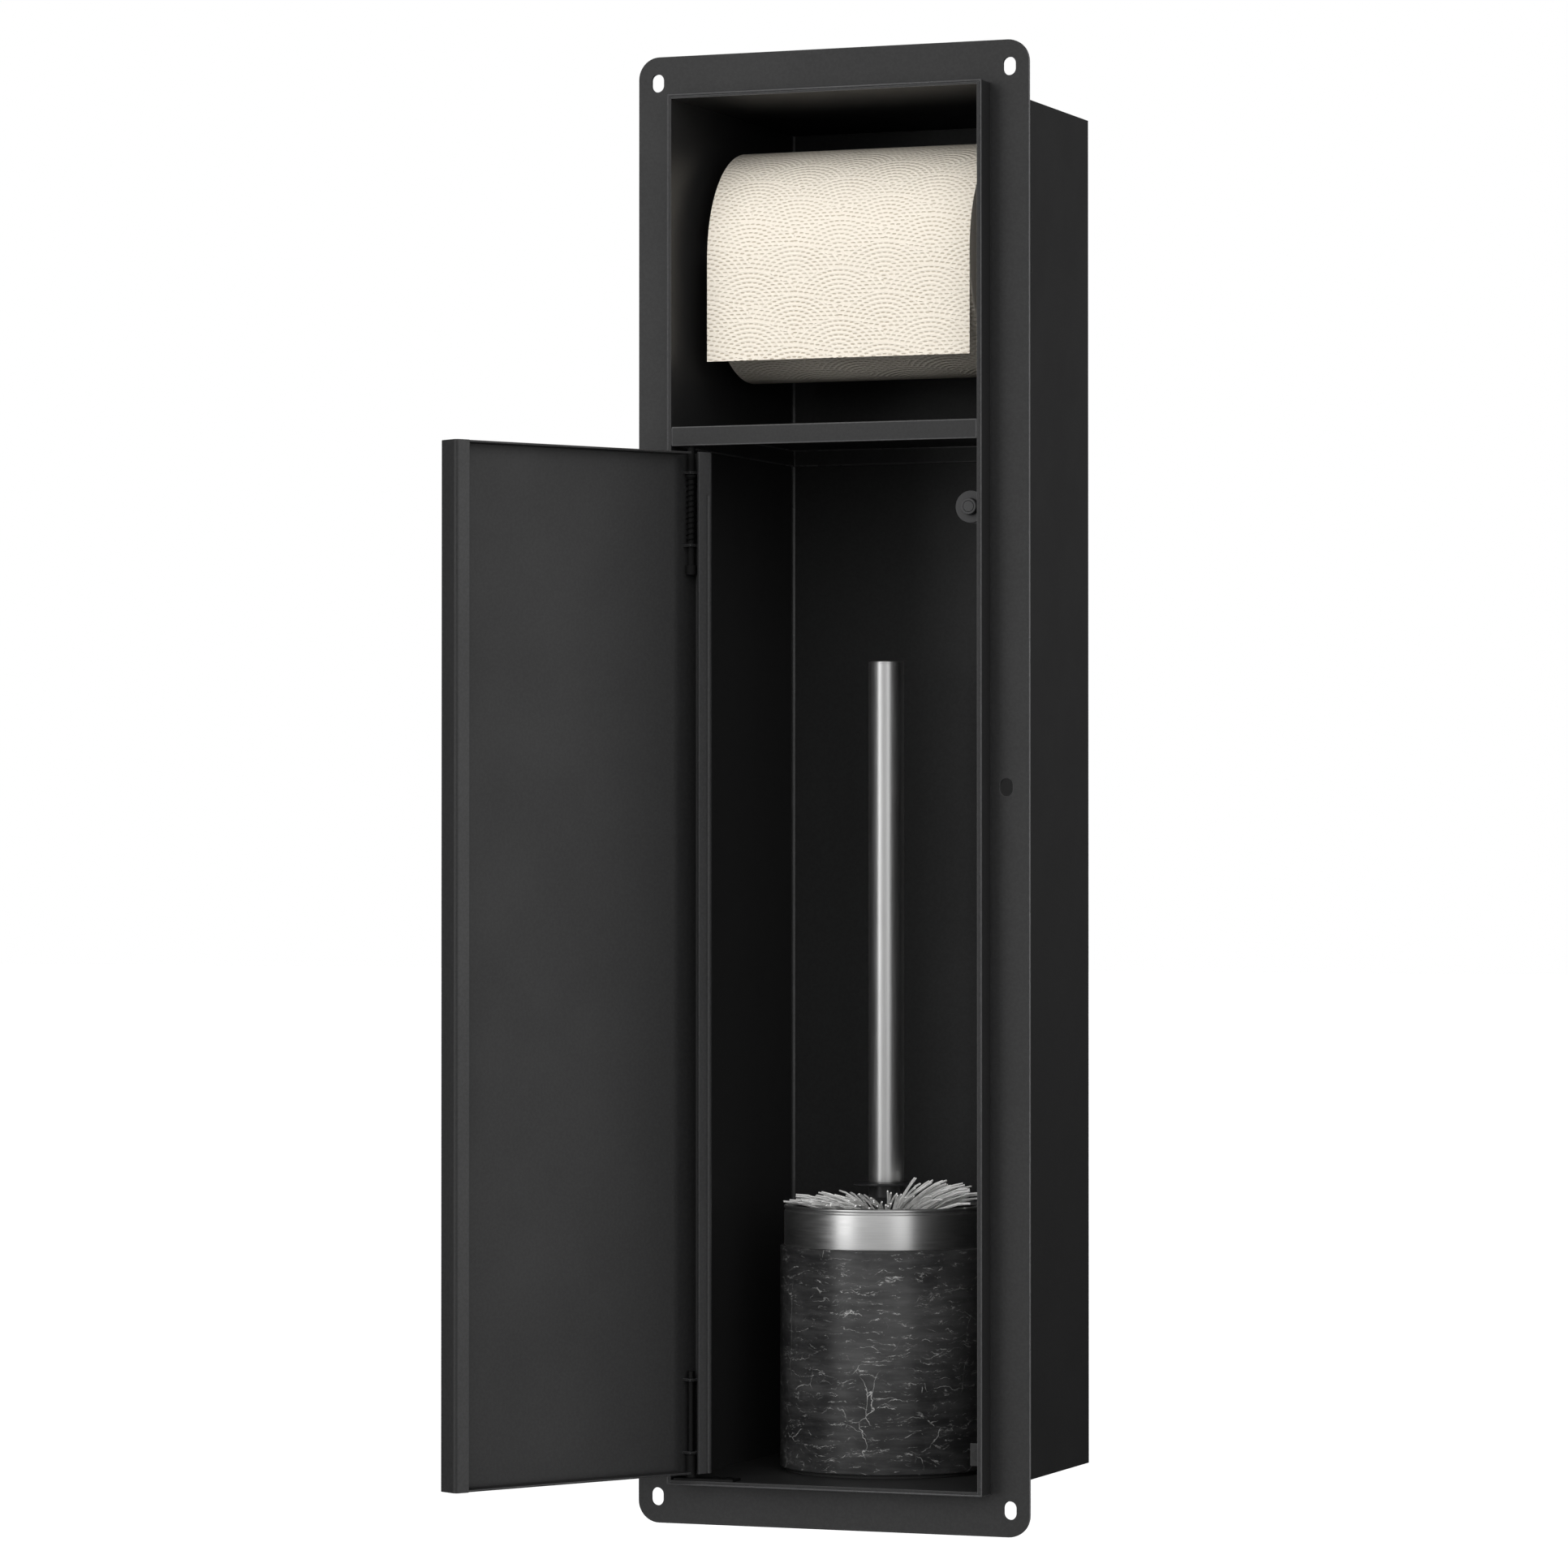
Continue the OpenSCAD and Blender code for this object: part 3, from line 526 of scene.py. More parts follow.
def object_place(tree, stretch=(1, 1, 1), origin=(0, 0, 0)):
    """Object coordinates, centred and stretched."""
    place = put(tree, "ShaderNodeTexCoord").outputs["Object"]
    wires = {"Vector": place, "Location": [-o * s for o, s in zip(origin, stretch)], "Scale": stretch}
    return put(tree, "ShaderNodeMapping", wires).outputs["Vector"]


def bumped(tree, height, distance, strength=1.0):
    """Normals of a relief of a given depth."""
    wires = {"Height": height, "Distance": distance, "Strength": strength}
    return put(tree, "ShaderNodeBump", wires).outputs["Normal"]


def new_finish(name, colour, roughness=0.5, metallic=0.0, specular=0.5):
    """A material with its shader's plain values set; returns it, its tree and its shader."""
    material = bpy.data.materials.new(name)
    material.use_nodes = True
    material.diffuse_color = (*colour[:3], 1)
    tree = material.node_tree
    shader = tree.nodes["Principled BSDF"]
    shader.inputs["Base Color"].default_value = (*colour[:3], 1)
    shader.inputs["Roughness"].default_value = roughness
    shader.inputs["Metallic"].default_value = metallic
    shader.inputs["Specular IOR Level"].default_value = specular
    return material, tree, shader


def wire(tree, shader, **values):
    """Wires results into the shader's sockets, named without spaces."""
    for key, value in values.items():
        tree.links.new(value, shader.inputs[key.replace("_", " ")])


def powder_coat(name, painted_light=1.0, satin=0.0):
    """Black powder coat with its fine orange peel; painted_light makes its colour lighter, to paint
    highlights on edges and painted light on the door's lips.
    """
    coat = bpy.context.scene.cabinet_coat
    shade = toned(coat.colour, painted_light)
    rough = coat.roughness - satin
    material, tree, shader = new_finish(name, shade, rough, specular=0.45 + satin)
    place = object_place(tree)
    peel = noise(tree, place, coat.grain, 2.0, 0.55)
    patch = noise(tree, place, 0.035, 3.0)
    lighter = [c * 1.18 + 0.001 for c in shade]
    wire(tree, shader,
         Base_Color=tones(tree, peel, 0.3, 0.72, toned(shade, 0.9), lighter),
         Roughness=varied(tree, patch, rough, 0.03),
         Normal=bumped(tree, peel, 0.00003, 0.55))
    return material


def drawn_steel(name, stretch, roughness):
    """Bright steel with fine lines along the way it isn't stretched."""
    steel = bpy.context.scene.cabinet_holder.steel
    material, tree, shader = new_finish(name, steel, roughness, metallic=1.0)
    lines = noise(tree, object_place(tree, stretch), 0.0004, 3.0, 0.6)
    smear = noise(tree, object_place(tree), 0.02, 2.0)
    wire(tree, shader,
         Base_Color=tones(tree, lines, 0.3, 0.7, toned(steel, 0.93), steel),
         Roughness=sums(tree, "ADD", varied(tree, lines, roughness, 0.04), times(tree, smear, 0.05)),
         Normal=bumped(tree, lines, 0.000004, 0.15))
    return material


def plated(name, colour, roughness):
    """Plated steel with its slight mottling."""
    material, tree, shader = new_finish(name, colour, roughness, metallic=1.0)
    mottle = noise(tree, object_place(tree), 0.0014, 4.0, 0.6)
    wire(tree, shader,
         Base_Color=tones(tree, mottle, 0.3, 0.7, toned(colour, 0.8), colour),
         Roughness=varied(tree, mottle, roughness, 0.06, 0.08),
         Normal=bumped(tree, mottle, 0.00001, 0.3))
    return material


def moulded(name, colour, roughness, specular=0.45):
    """Moulded plastic with a fine spark texture."""
    material, tree, shader = new_finish(name, colour, roughness, specular=specular)
    spark = noise(tree, object_place(tree), 0.0006, 2.0, 0.6)
    cloud = noise(tree, object_place(tree), 0.012, 2.0)
    wire(tree, shader,
         Base_Color=blend_colours(tree, cloud, toned(colour, 0.88), toned(colour, 1.12)),
         Roughness=varied(tree, spark, roughness, 0.05),
         Normal=bumped(tree, spark, 0.00001, 0.5))
    return material


def rubber(name, colour):
    """Matt rubber with talc in its pores."""
    material, tree, shader = new_finish(name, colour, 0.75, specular=0.3)
    pores = noise(tree, object_place(tree), 0.0005, 3.0, 0.7)
    wire(tree, shader,
         Base_Color=tones(tree, pores, 0.35, 0.8, colour, toned(colour, 1.3)),
         Normal=bumped(tree, pores, 0.00002, 0.6))
    return material


def card(name):
    """Brown card with pale fibres."""
    colour = bpy.context.scene.cabinet_paper.card
    material, tree, shader = new_finish(name, colour, 0.85, specular=0.2)
    fibres = noise(tree, object_place(tree, (0.25, 1, 1)), 0.0005, 4.0, 0.7)
    wire(tree, shader,
         Base_Color=tones(tree, fibres, 0.3, 0.75, toned(colour, 0.75), toned(colour, 1.35)),
         Normal=bumped(tree, fibres, 0.00005, 0.6))
    return material


def arches(tree, paper):
    """Distance, side step and rise from the middle of the arch that lies on top at a place of the sheet."""
    flat = put(tree, "ShaderNodeUVMap", uv_map="Sheet").outputs[0]
    parts = put(tree, "ShaderNodeSeparateXYZ", {0: flat})
    across = minus(tree, parts.outputs[0], ARCH_SHIFT)
    rows = sums(tree, "DIVIDE", parts.outputs[1], paper.row)
    row = sums(tree, "FLOOR", rows)
    into = minus(tree, rows, row)
    found = []
    for lower in (-1, 0):
        odd = sums(tree, "FLOORED_MODULO", sums(tree, "ADD", row, lower), 2.0)
        shifted = minus(tree, across, times(tree, odd, paper.arch))
        side = sums(tree, "WRAP", shifted, paper.arch, -paper.arch)
        rise = times(tree, times(tree, minus(tree, into, lower), paper.row), ARCH_STRETCH)
        found.append((distance(tree, side, rise), side, rise))
    near = sums(tree, "LESS_THAN", found[0][0], paper.arch)
    return [sums(tree, "MULTIPLY_ADD", near, minus(tree, low, own), own) for low, own in zip(*found)]


def dashes(tree, paper, rings, side, rise):
    """1 on the dashes of an arch's rings, 0 between them."""
    ring = sums(tree, "FLOOR", rings)
    radius = times(tree, sums(tree, "ADD", ring, 0.5), paper.ring)
    pitch = sums(tree, "DIVIDE", paper.dash, radius)
    stagger = sums(tree, "FRACT", times(tree, ring, RING_STAGGER))
    count = sums(tree, "ADD", sums(tree, "DIVIDE", sums(tree, "ARCTAN2", side, rise), pitch), stagger)
    turn = times(tree, minus(tree, sums(tree, "ROUND", count), stagger), pitch)
    off = []
    for place, wave, half in ((side, "SINE", DASH_HALF_L), (rise, "COSINE", DASH_HALF_W)):
        middle = times(tree, radius, sums(tree, wave, turn))
        off.append(sums(tree, "DIVIDE", minus(tree, place, middle), half))
    return ease(tree, distance(tree, *off), 0.55, 1.15, 1.0, 0.0)


def embossed_tissue(name):
    """Tissue with overlapping arches of dashed rings, drawn on the sheet's own width and length; the dashes
    are dented and darkened with painted shade.
    """
    paper = bpy.context.scene.cabinet_paper
    material, tree, shader = new_finish(name, paper.colour, 0.9, specular=0.15)
    reach, side, rise = arches(tree, paper)
    rings = sums(tree, "DIVIDE", reach, paper.ring)
    dent = dashes(tree, paper, rings, side, rise)
    swell = ease(tree, sums(tree, "ABSOLUTE", minus(tree, sums(tree, "FRACT", rings), 0.5)), 0.1, 0.5)
    crepe = noise(tree, object_place(tree), 0.0005, 3.0, 0.7)
    height = sums(tree, "MULTIPLY_ADD", swell, 0.45, times(tree, dent, -1.0))
    height = sums(tree, "MULTIPLY_ADD", crepe, 0.12, height)
    # Darker colour in the dents: painted shade, stronger in some places than in others
    shade = [c * s for c, s in zip(paper.colour, (0.64, 0.6, 0.53))]
    dent_shade_share = ease(tree, noise(tree, object_place(tree), 0.009, 2.0), 0.35, 0.65, 0.55, 0.9)
    soft = tones(tree, crepe, 0.3, 0.8, toned(paper.colour, 0.96), paper.colour)
    wire(tree, shader,
         Base_Color=blend_colours(tree, times(tree, dent, dent_shade_share), soft, shade),
         Normal=bumped(tree, height, paper.depth, 0.9))
    return material


def roll_end(name):
    """Cut end of the roll: fine rings of wound tissue."""
    colour = bpy.context.scene.cabinet_paper.colour
    material, tree, shader = new_finish(name, colour, 0.95, specular=0.1)
    place = object_place(tree, (0, 1, 1), (0, ROLL_Y, ROLL_Z))
    radius = vector_sums(tree, "LENGTH", place).outputs["Value"]
    stray = noise(tree, object_place(tree), 0.02, 2.0)
    turns = sums(tree, "MULTIPLY_ADD", stray, 0.0012, radius)
    layers = put(tree, "ShaderNodeTexNoise", {"W": times(tree, turns, 2300.0), "Detail": 2.0},
                 noise_dimensions="1D").outputs["Fac"]
    wire(tree, shader,
         Base_Color=tones(tree, layers, 0.35, 0.65, toned(colour, 0.72), colour),
         Normal=bumped(tree, layers, 0.0001, 0.8))
    return material


# The glaze's sets of veins: cracked or flowing, stretch, size, width, where they break off, strength, shift
VEINS = (
    (True, (1.0, 1.0, 0.6), 0.027, 0.006, (0.52, 0.62), 0.85, 0.0),
    (True, (0.6, 0.6, 1.5), 0.017, 0.0085, (0.54, 0.64), 0.85, 0.31),
    (False, (0.5, 0.5, 3.4), 0.018, 0.006, (0.51, 0.66), 0.9, 0.77),
    (False, (0.6, 0.6, 3.2), 0.006, 0.026, (0.53, 0.67), 0.9, 1.3),
)


def marble_glaze(name):
    """Dark marbled glaze with fine broken veins and faint clouds."""
    holder = bpy.context.scene.cabinet_holder
    material, tree, shader = new_finish(name, holder.dark, 0.33, specular=0.4)
    place = object_place(tree, (1, 1, 1), (0, HOLDER_Y, HOLDER_Z))
    bend = put(tree, "ShaderNodeTexNoise", {"Vector": place, "Scale": 90.0, "Detail": 5.0}).outputs["Color"]
    bend = vector_sums(tree, "SUBTRACT", bend, (0.5, 0.5, 0.5)).outputs[0]
    bend = vector_sums(tree, "SCALE", bend, Scale=0.009).outputs[0]
    bent = vector_sums(tree, "ADD", place, bend).outputs[0]
    veins = 0.0
    for cracked, stretch, size, width, broken, share, shift in VEINS:
        wires = {"Vector": bent, "Scale": stretch, "Rotation": (0.1, 0.15, 0)}
        drawn = put(tree, "ShaderNodeMapping", wires | {"Location": (shift, shift, shift)}).outputs[0]
        if cracked:
            ridge = put(tree, "ShaderNodeTexVoronoi", {"Vector": drawn, "Scale": 1 / size},
                        feature="DISTANCE_TO_EDGE").outputs["Distance"]
        else:
            ridge = sums(tree, "ABSOLUTE", minus(tree, noise(tree, drawn, size, 6.0, 0.58), 0.5))
        mask = put(tree, "ShaderNodeMapping", wires | {"Location": (shift + 2, shift, shift)}).outputs[0]
        faded = ease(tree, noise(tree, mask, size * 0.8, 5.0, 0.65), *broken, 0.0, share)
        line = times(tree, ease(tree, ridge, 0.0, width, 1.0, 0.0), faded)
        veins = sums(tree, "MAXIMUM", veins, line)
    cloud = noise(tree, bent, 0.045, 5.0, 0.6)
    streak = noise(tree, object_place(tree, (0.8, 0.8, 6)), 0.02, 5.0, 0.65)
    tone = sums(tree, "ADD", times(tree, ease(tree, cloud, 0.35, 0.7), 0.6),
                times(tree, ease(tree, streak, 0.4, 0.7), 0.4), clamp=True)
    ground = blend_colours(tree, tone, holder.dark, holder.light)
    wire(tree, shader,
         Base_Color=blend_colours(tree, times(tree, veins, 0.85), ground, holder.vein),
         Roughness=ease(tree, cloud, 0.2, 0.8, 0.28, 0.38),
         Normal=bumped(tree, cloud, 0.00004, 0.3))
    return material


def bristle(name):
    """Cloudy nylon bristles."""
    colour = bpy.context.scene.cabinet_brush.colour
    material, tree, shader = new_finish(name, colour, 0.32, specular=0.6)
    tint = noise(tree, object_place(tree), 0.003, 2.0)
    wire(tree, shader,
         Base_Color=tones(tree, tint, 0.3, 0.7, toned(colour, 0.82), colour),
         Normal=bumped(tree, noise(tree, object_place(tree), 0.0004, 2.0), 0.00001, 0.4))
    return material


# How each slot is finished: maker, name and values
FINISHES = {
    "black_coat": (powder_coat, "powder_coat"),
    # The coat's lighter copies are painted light: painted highlights on rounded and cut edges, painted light
    # on the door's lips; they are also glossier
    "coat_edge": (powder_coat, "coat_edge", 3.2, 0.14),
    "cut_edge": (powder_coat, "cut_edge", 12.0, 0.14),
    "lip_coat": (powder_coat, "lip_coat", 1.7, 0.04),
    "brushed_steel": (drawn_steel, "brushed_steel", (1, 1, 0.02), 0.32),
    "polished_steel": (drawn_steel, "polished_steel", (0.03, 0.03, 1), 0.3),
    "zinc_steel": (plated, "zinc_plate", (0.56, 0.56, 0.55), 0.36),
    "spring_steel": (plated, "spring_wire", (0.42, 0.42, 0.42), 0.3),
    "black_zinc": (plated, "blackened_zinc", (0.028, 0.028, 0.028), 0.5),
    "dark_spring": (plated, "blackened_wire", (0.014, 0.014, 0.014), 0.6),
    "magnet_nickel": (moulded, "magnet_epoxy", (0.042, 0.042, 0.043), 0.42),
    "spindle_plastic": (moulded, "spindle_plastic", (0.02, 0.02, 0.021), 0.4),
    "pivot_plastic": (moulded, "pivot_plastic", (0.006, 0.006, 0.006), 0.7, 0.15),
    "latch_plastic": (moulded, "latch_plastic", (0.036, 0.036, 0.037), 0.42),
    "plunger_plastic": (moulded, "plunger_plastic", (0.042, 0.042, 0.043), 0.42),
    "spacer_nylon": (moulded, "spacer_nylon", (0.006, 0.006, 0.006), 0.6, 0.2),
    "liner_plastic": (moulded, "liner_plastic", (0.012, 0.012, 0.012), 0.5),
    "disc_plastic": (moulded, "disc_plastic", (0.014, 0.014, 0.015), 0.32),
    "bumper_rubber": (rubber, "bumper_rubber", (0.028, 0.028, 0.028)),
    "foot_rubber": (rubber, "foot_rubber", (0.014, 0.014, 0.014)),
    "card": (card, "tube_card"),
    "paper": (embossed_tissue, "embossed_tissue"),
    "roll_end": (roll_end, "roll_end"),
    "marble_glaze": (marble_glaze, "marble_glaze"),
    "bristle": (bristle, "bristle_nylon"),
}
made = {}


def finish(slot):
    """The material of a slot, made when it is first asked for."""
    if slot not in made:
        maker, name, *values = FINISHES[slot]
        made[slot] = maker(name, *values)
    return made[slot]


def dress(body, slot, edge, nodes, look=None):
    """Dresses frame pieces alike, given as {node: name of the new piece}."""
    # Rounded edges of black coat take a lighter copy of the coat: a painted highlight
    pair = (finish(slot), finish("coat_edge")) if slot == "black_coat" else None
    for node, name in nodes.items():
        mount(dressed(node, name, edge, edge_highlight_pair=pair), body, slot, node, look=look)


def wind(node, name, body, shape, along, held_end=0, look=None):
    """Winds the spring of a node in its place and mounts it; held_end, 0 low or 1 high, only marks an anchor
    that nothing uses.
    """
    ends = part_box(node)
    axis = "XYZ".index(along)
    centre = (ends[0] + ends[1]) / 2
    anchor = centre.copy()
    anchor[axis] = ends[held_end][axis]
    centre[axis] = 0
    coil = spring(name, ends[0][axis], ends[1][axis], centre, along, *shape)
    mount(coil, body, "spring_steel", node, look=look)
    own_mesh(coil)


def give_finish(piece, name, chosen):
    """Gives the faces of a piece that are chosen by their middle and normal a finish of their own."""
    piece.data.materials.append(finish(name))
    for polygon in piece.data.polygons:
        if chosen(polygon.center, polygon.normal):
            polygon.material_index = len(piece.data.materials) - 1


def lathe(name, corners, body, slot, *nodes, **shape):
    """Turns a piece of the holder or the brush about their common axis and mounts it."""
    mount(turned(name, corners, (0, HOLDER_Y, 0), **shape), body, slot, *nodes)


def door_turn(angle):
    """A turn about the door's pivot."""
    pivot = Vector((*DOOR_PIVOT, 0))
    return Matrix.Translation(pivot) @ Matrix.Rotation(angle, 4, "Z") @ Matrix.Translation(-pivot)


# Pieces

class CABINET_OT_camera(bpy.types.Operator):
    """Place the camera at the photograph's viewing angle"""

    bl_idname = "cabinet.camera"
    bl_label = "Camera"

    def execute(self, context):
        data = bpy.data.cameras.new("camera")
        data.lens = LENS
        data.sensor_width = SENSOR
        data.sensor_fit = "HORIZONTAL"
        data.clip_start = 0.05
        data.clip_end = 60
        camera = bpy.data.objects.new("camera", data)
        camera.location = CAMERA_PLACE
        camera.rotation_euler = [math.radians(a) for a in CAMERA_TURN]
        context.scene.collection.objects.link(camera)
        context.scene.camera = camera
        return {"FINISHED"}


class CABINET_OT_stage(bpy.types.Operator):
    """Add the floor, the softboxes and the surroundings"""

    bl_idname = "cabinet.stage"
    bl_label = "Stage"

    def execute(self, context):
        studio = context.scene.cabinet_studio
        context.scene.view_settings.view_transform = "Standard"
        clear_selection()
        low = CAD_BOX[0][2] - studio.floor_drop
        bpy.ops.mesh.primitive_plane_add(size=60, location=(0, 0, 0))
        floor = named("floor")
        floor.data.transform(Matrix.Translation((0, 0, low)))
        floor.data.materials.append(self.pale_floor())
        for name, left, up, distance, size in SOFTBOXES:
            self.softbox(name + "_softbox", left, up, distance, size, getattr(studio, name))
        self.surroundings(studio)
        return {"FINISHED"}

    def pale_floor(self):
        """Grey for the light, white for the camera, and a glow in front for gloss."""
        material, tree, shader = new_finish("pale_floor", (0.8, 0.8, 0.8), 0.9, specular=0.1)
        path = put(tree, "ShaderNodeLightPath")
        seen = reflected(tree, path)
        mottle = noise(tree, object_place(tree), 0.4, 2.0)
        way = put(tree, "ShaderNodeSeparateXYZ", {0: put(tree, "ShaderNodeTexCoord").outputs["Object"]})
        front = ease(tree, way.outputs[1], -0.8, 0.2, 0.3, 0.0)
        level = sums(tree, "MAXIMUM", times(tree, seen, front), path.outputs["Is Camera Ray"])
        glow = put(tree, "ShaderNodeEmission", {"Strength": times(tree, level, 0.93)})
        pale = blend_colours(tree, mottle, (0.46, 0.46, 0.46), (0.5, 0.5, 0.5))
        wire(tree, shader, Base_Color=blend_colours(tree, seen, pale, (0.0, 0.0, 0.0)))
        both = put(tree, "ShaderNodeAddShader", {0: shader.outputs[0], 1: glow.outputs[0]})
        tree.links.new(both.outputs[0], tree.nodes["Material Output"].inputs["Surface"])
        return material

    def softbox(self, name, left, up, distance, size, power):
        """An area lamp aimed at the middle of the cabinet, left of the front by an angle."""
        data = bpy.data.lights.new(name, "AREA")
        data.shape = "RECTANGLE"
        data.size, data.size_y = size
        data.energy = power
        lamp = bpy.data.objects.new(name, data)
        side, rise = math.radians(left), math.radians(up)
        away = Vector((-math.sin(side) * math.cos(rise), -math.cos(side) * math.cos(rise), math.sin(rise)))
        lamp.location = away * distance
        lamp.rotation_euler = away.to_track_quat("Z", "Y").to_euler()
        bpy.context.scene.collection.objects.link(lamp)

    def surroundings(self, studio):
        """White for the camera; for light and gloss, bright in front and dark or dim behind."""
        world = bpy.data.worlds.new("surroundings")
        bpy.context.scene.world = world
        world.use_nodes = True
        tree = world.node_tree
        tree.nodes.clear()
        path = put(tree, "ShaderNodeLightPath")
        way = put(tree, "ShaderNodeSeparateXYZ", {0: put(tree, "ShaderNodeTexCoord").outputs["Generated"]})
        diffuse = times(tree, ease(tree, way.outputs[1], -1.0, -0.2, 1.0, 0.0), studio.sky)
        glossy = times(tree, ease(tree, way.outputs[1], -0.95, 0.0, 1.0, 0.35), studio.shine)
        level = sums(tree, "MULTIPLY_ADD", reflected(tree, path), minus(tree, glossy, diffuse), diffuse)
        level = sums(tree, "MAXIMUM", level, path.outputs["Is Camera Ray"])
        glow = put(tree, "ShaderNodeBackground", {"Color": (1, 1, 1, 1), "Strength": level})
        put(tree, "ShaderNodeOutputWorld", {0: glow.outputs[0]})


class CABINET_OT_flange(bpy.types.Operator):
    """Model the wall flange and the collar that stands out of it"""

    bl_idname = "cabinet.flange"
    bl_label = "Flange and collar"

    def execute(self, context):
        edge = context.scene.cabinet_coat.edge
        dress("cabinet", "black_coat", edge * 1.5, {"wall_flange": "face_flange", "collar": "tile_collar"})
        low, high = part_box("wall_flange")
        # The flange's side faces at its left and right ends get a painted highlight
        give_finish(bpy.data.objects["face_flange"], "cut_edge", lambda place, normal: (
            abs(normal.y) < 0.7 and min(place.x - low.x, high.x - place.x) < CUT_HIGHLIGHT_REACH))
        return {"FINISHED"}


class CABINET_OT_box(bpy.types.Operator):
    """Model the folded box, its shelf and the fillets in its corners"""

    bl_idname = "cabinet.box"
    bl_label = "Box and shelf"

    def execute(self, context):
        edge = context.scene.cabinet_coat.edge
        dress("cabinet", "black_coat", edge * 0.6, {
            "left_wall": "box_left", "right_wall": "box_right", "top_wall": "box_top",
            "bottom_wall": "box_bottom", "back_panel": "box_back"})
        dress("cabinet", "black_coat", edge * 1.4, {"divider_shelf": "shelf"})
        floor_z, ceiling_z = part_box("bottom_wall")[1].z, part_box("top_wall")[0].z
        shelf_low, shelf_high = [corner.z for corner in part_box("divider_shelf")]
        for name, low, high in (("upper", shelf_high, ceiling_z), ("lower", floor_z, shelf_low)):
            for side, label in ((-1, "left"), (1, "right")):
                self.corner_fillet(f"corner_fillet_{name}_{label}", side, low, high)
        return {"FINISHED"}

    def corner_fillet(self, name, side, low, high):
        """A thin fillet of the coat that gathers in an upright back corner, in the lighter edge coat: a
        painted highlight line.
        """
        inner = abs(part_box("left_wall")[1].x)
        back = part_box("back_panel")[0].y
        clear_selection()
        bpy.ops.mesh.primitive_circle_add(vertices=6, radius=FILLET, fill_type="NGON")
        piece = named(name)
        angles = [math.radians(a) for a in (60, 30)]
        hollow = [(FILLET * (1 - math.sin(a)), FILLET * (1 - math.cos(a))) for a in angles]
        outline = [(0, 0), (FILLET, 0), *hollow, (0, FILLET), (0, FILLET / 2)]
        for vertex, (x, y) in zip(piece.data.vertices, outline):
            vertex.co = (side * (inner - x), back - y, low)
        raise_outline(piece, high - low)
        smooth(piece, 50)
        mount(piece, "cabinet", "black_coat", look="coat_edge")


class CABINET_OT_door(bpy.types.Operator):
    """Model the tray door and the carriers in its hinge corner"""

    bl_idname = "cabinet.door"
    bl_label = "Door"

    def execute(self, context):
        edge = context.scene.cabinet_coat.edge
        dress("door", "black_coat", edge, {
            "door_tray": "tray_door", "upper_hinge_carrier": "carrier_upper",
            "lower_hinge_carrier": "carrier_lower"})
        closed = door_turn(DOOR_OPEN)
        # The door's lips get a lighter coat than the recessed panel: painted light
        give_finish(bpy.data.objects["tray_door"], "lip_coat", lambda place, normal: (
            (closed @ place).y > LIP_Y and (closed.to_3x3() @ normal).y > 0.9))
        low, high = [corner.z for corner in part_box("door_tray")]
        self.hem("door_hem_top", high - HEM_T, edge)
        self.hem("door_hem_bottom", low, edge)
        return {"FINISHED"}

    def hem(self, name, low, edge):
        """A narrow flange folded in at an end of the door, drawn on the closed door and turned with it."""
        clear_selection()
        bpy.ops.mesh.primitive_plane_add(size=1, location=(0, 0, 0))
        piece = named(name)
        for vertex in piece.data.vertices:
            vertex.co = (HEM_SPAN[vertex.co.x > 0], HEM_REACH[vertex.co.y > 0], low)
        raise_outline(piece, HEM_T)
        # Its rounded edges are in the lighter edge coat: a painted highlight
        for material in (finish("black_coat"), finish("coat_edge")):
            piece.data.materials.append(material)
        soften(piece, edge * 0.6, material=1)
        smooth(piece)
        piece.data.transform(door_turn(-DOOR_OPEN))
        mount(piece, "door", "black_coat")


class CABINET_OT_pivots(bpy.types.Operator):
    """Model the door's sprung pin, its block, the lower plate and the spacer"""

    bl_idname = "cabinet.pivots"
    bl_label = "Pivots"

    def execute(self, context):
        dress("upper_pin", "pivot_plastic", 0.0002, {"upper_pivot_pin": "sprung_pin"})
        dress("cabinet", "pivot_plastic", 0.0003, {"upper_pivot_block": "pin_block"})
        dress("cabinet", "zinc_steel", 0.00015, {
            "lower_pivot_plate": "stud_plate", "lower_pivot_rivets": "plate_rivets"}, look="black_zinc")
        dress("cabinet", "spacer_nylon", 0.00012, {"lower_spacer": "stud_spacer"})
        wind("pin_spring", "pin_coil", "door", PIN_COIL, "Z", look="dark_spring")
        return {"FINISHED"}


class CABINET_OT_latch(bpy.types.Operator):
    """Model the push latch with its clip, plunger, magnet and spring"""

    bl_idname = "cabinet.latch"
    bl_label = "Push latch"

    def execute(self, context):
        dress("cabinet", "latch_plastic", 0.00035, {"latch_housing": "latch_barrel"})
        dress("cabinet", "latch_plastic", 0.0002, {"latch_clip": "latch_bracket"})
        dress("cabinet", "zinc_steel", 0.00012, {"latch_screws": "bracket_screws"})
        dress("plunger", "plunger_plastic", 0.0003, {"latch_plunger": "push_plunger"})
        dress("plunger", "magnet_nickel", 0.0002, {"latch_magnet": "plunger_magnet"})
        wind("latch_spring", "latch_coil", "cabinet", LATCH_COIL, "Y", held_end=1)
        return {"FINISHED"}


class CABINET_OT_stop(bpy.types.Operator):
    """Model the door stop with its rubber bumper and rivet"""

    bl_idname = "cabinet.stop"
    bl_label = "Door stop"

    def execute(self, context):
        edge = context.scene.cabinet_coat.edge
        dress("cabinet", "black_coat", edge, {"stop_bracket": "stop_angle"})
        dress("cabinet", "bumper_rubber", 0.0003, {"stop_bumper": "stop_pad"})
        dress("cabinet", "zinc_steel", 0.00015, {"stop_rivet": "stop_angle_rivet"})
        return {"FINISHED"}


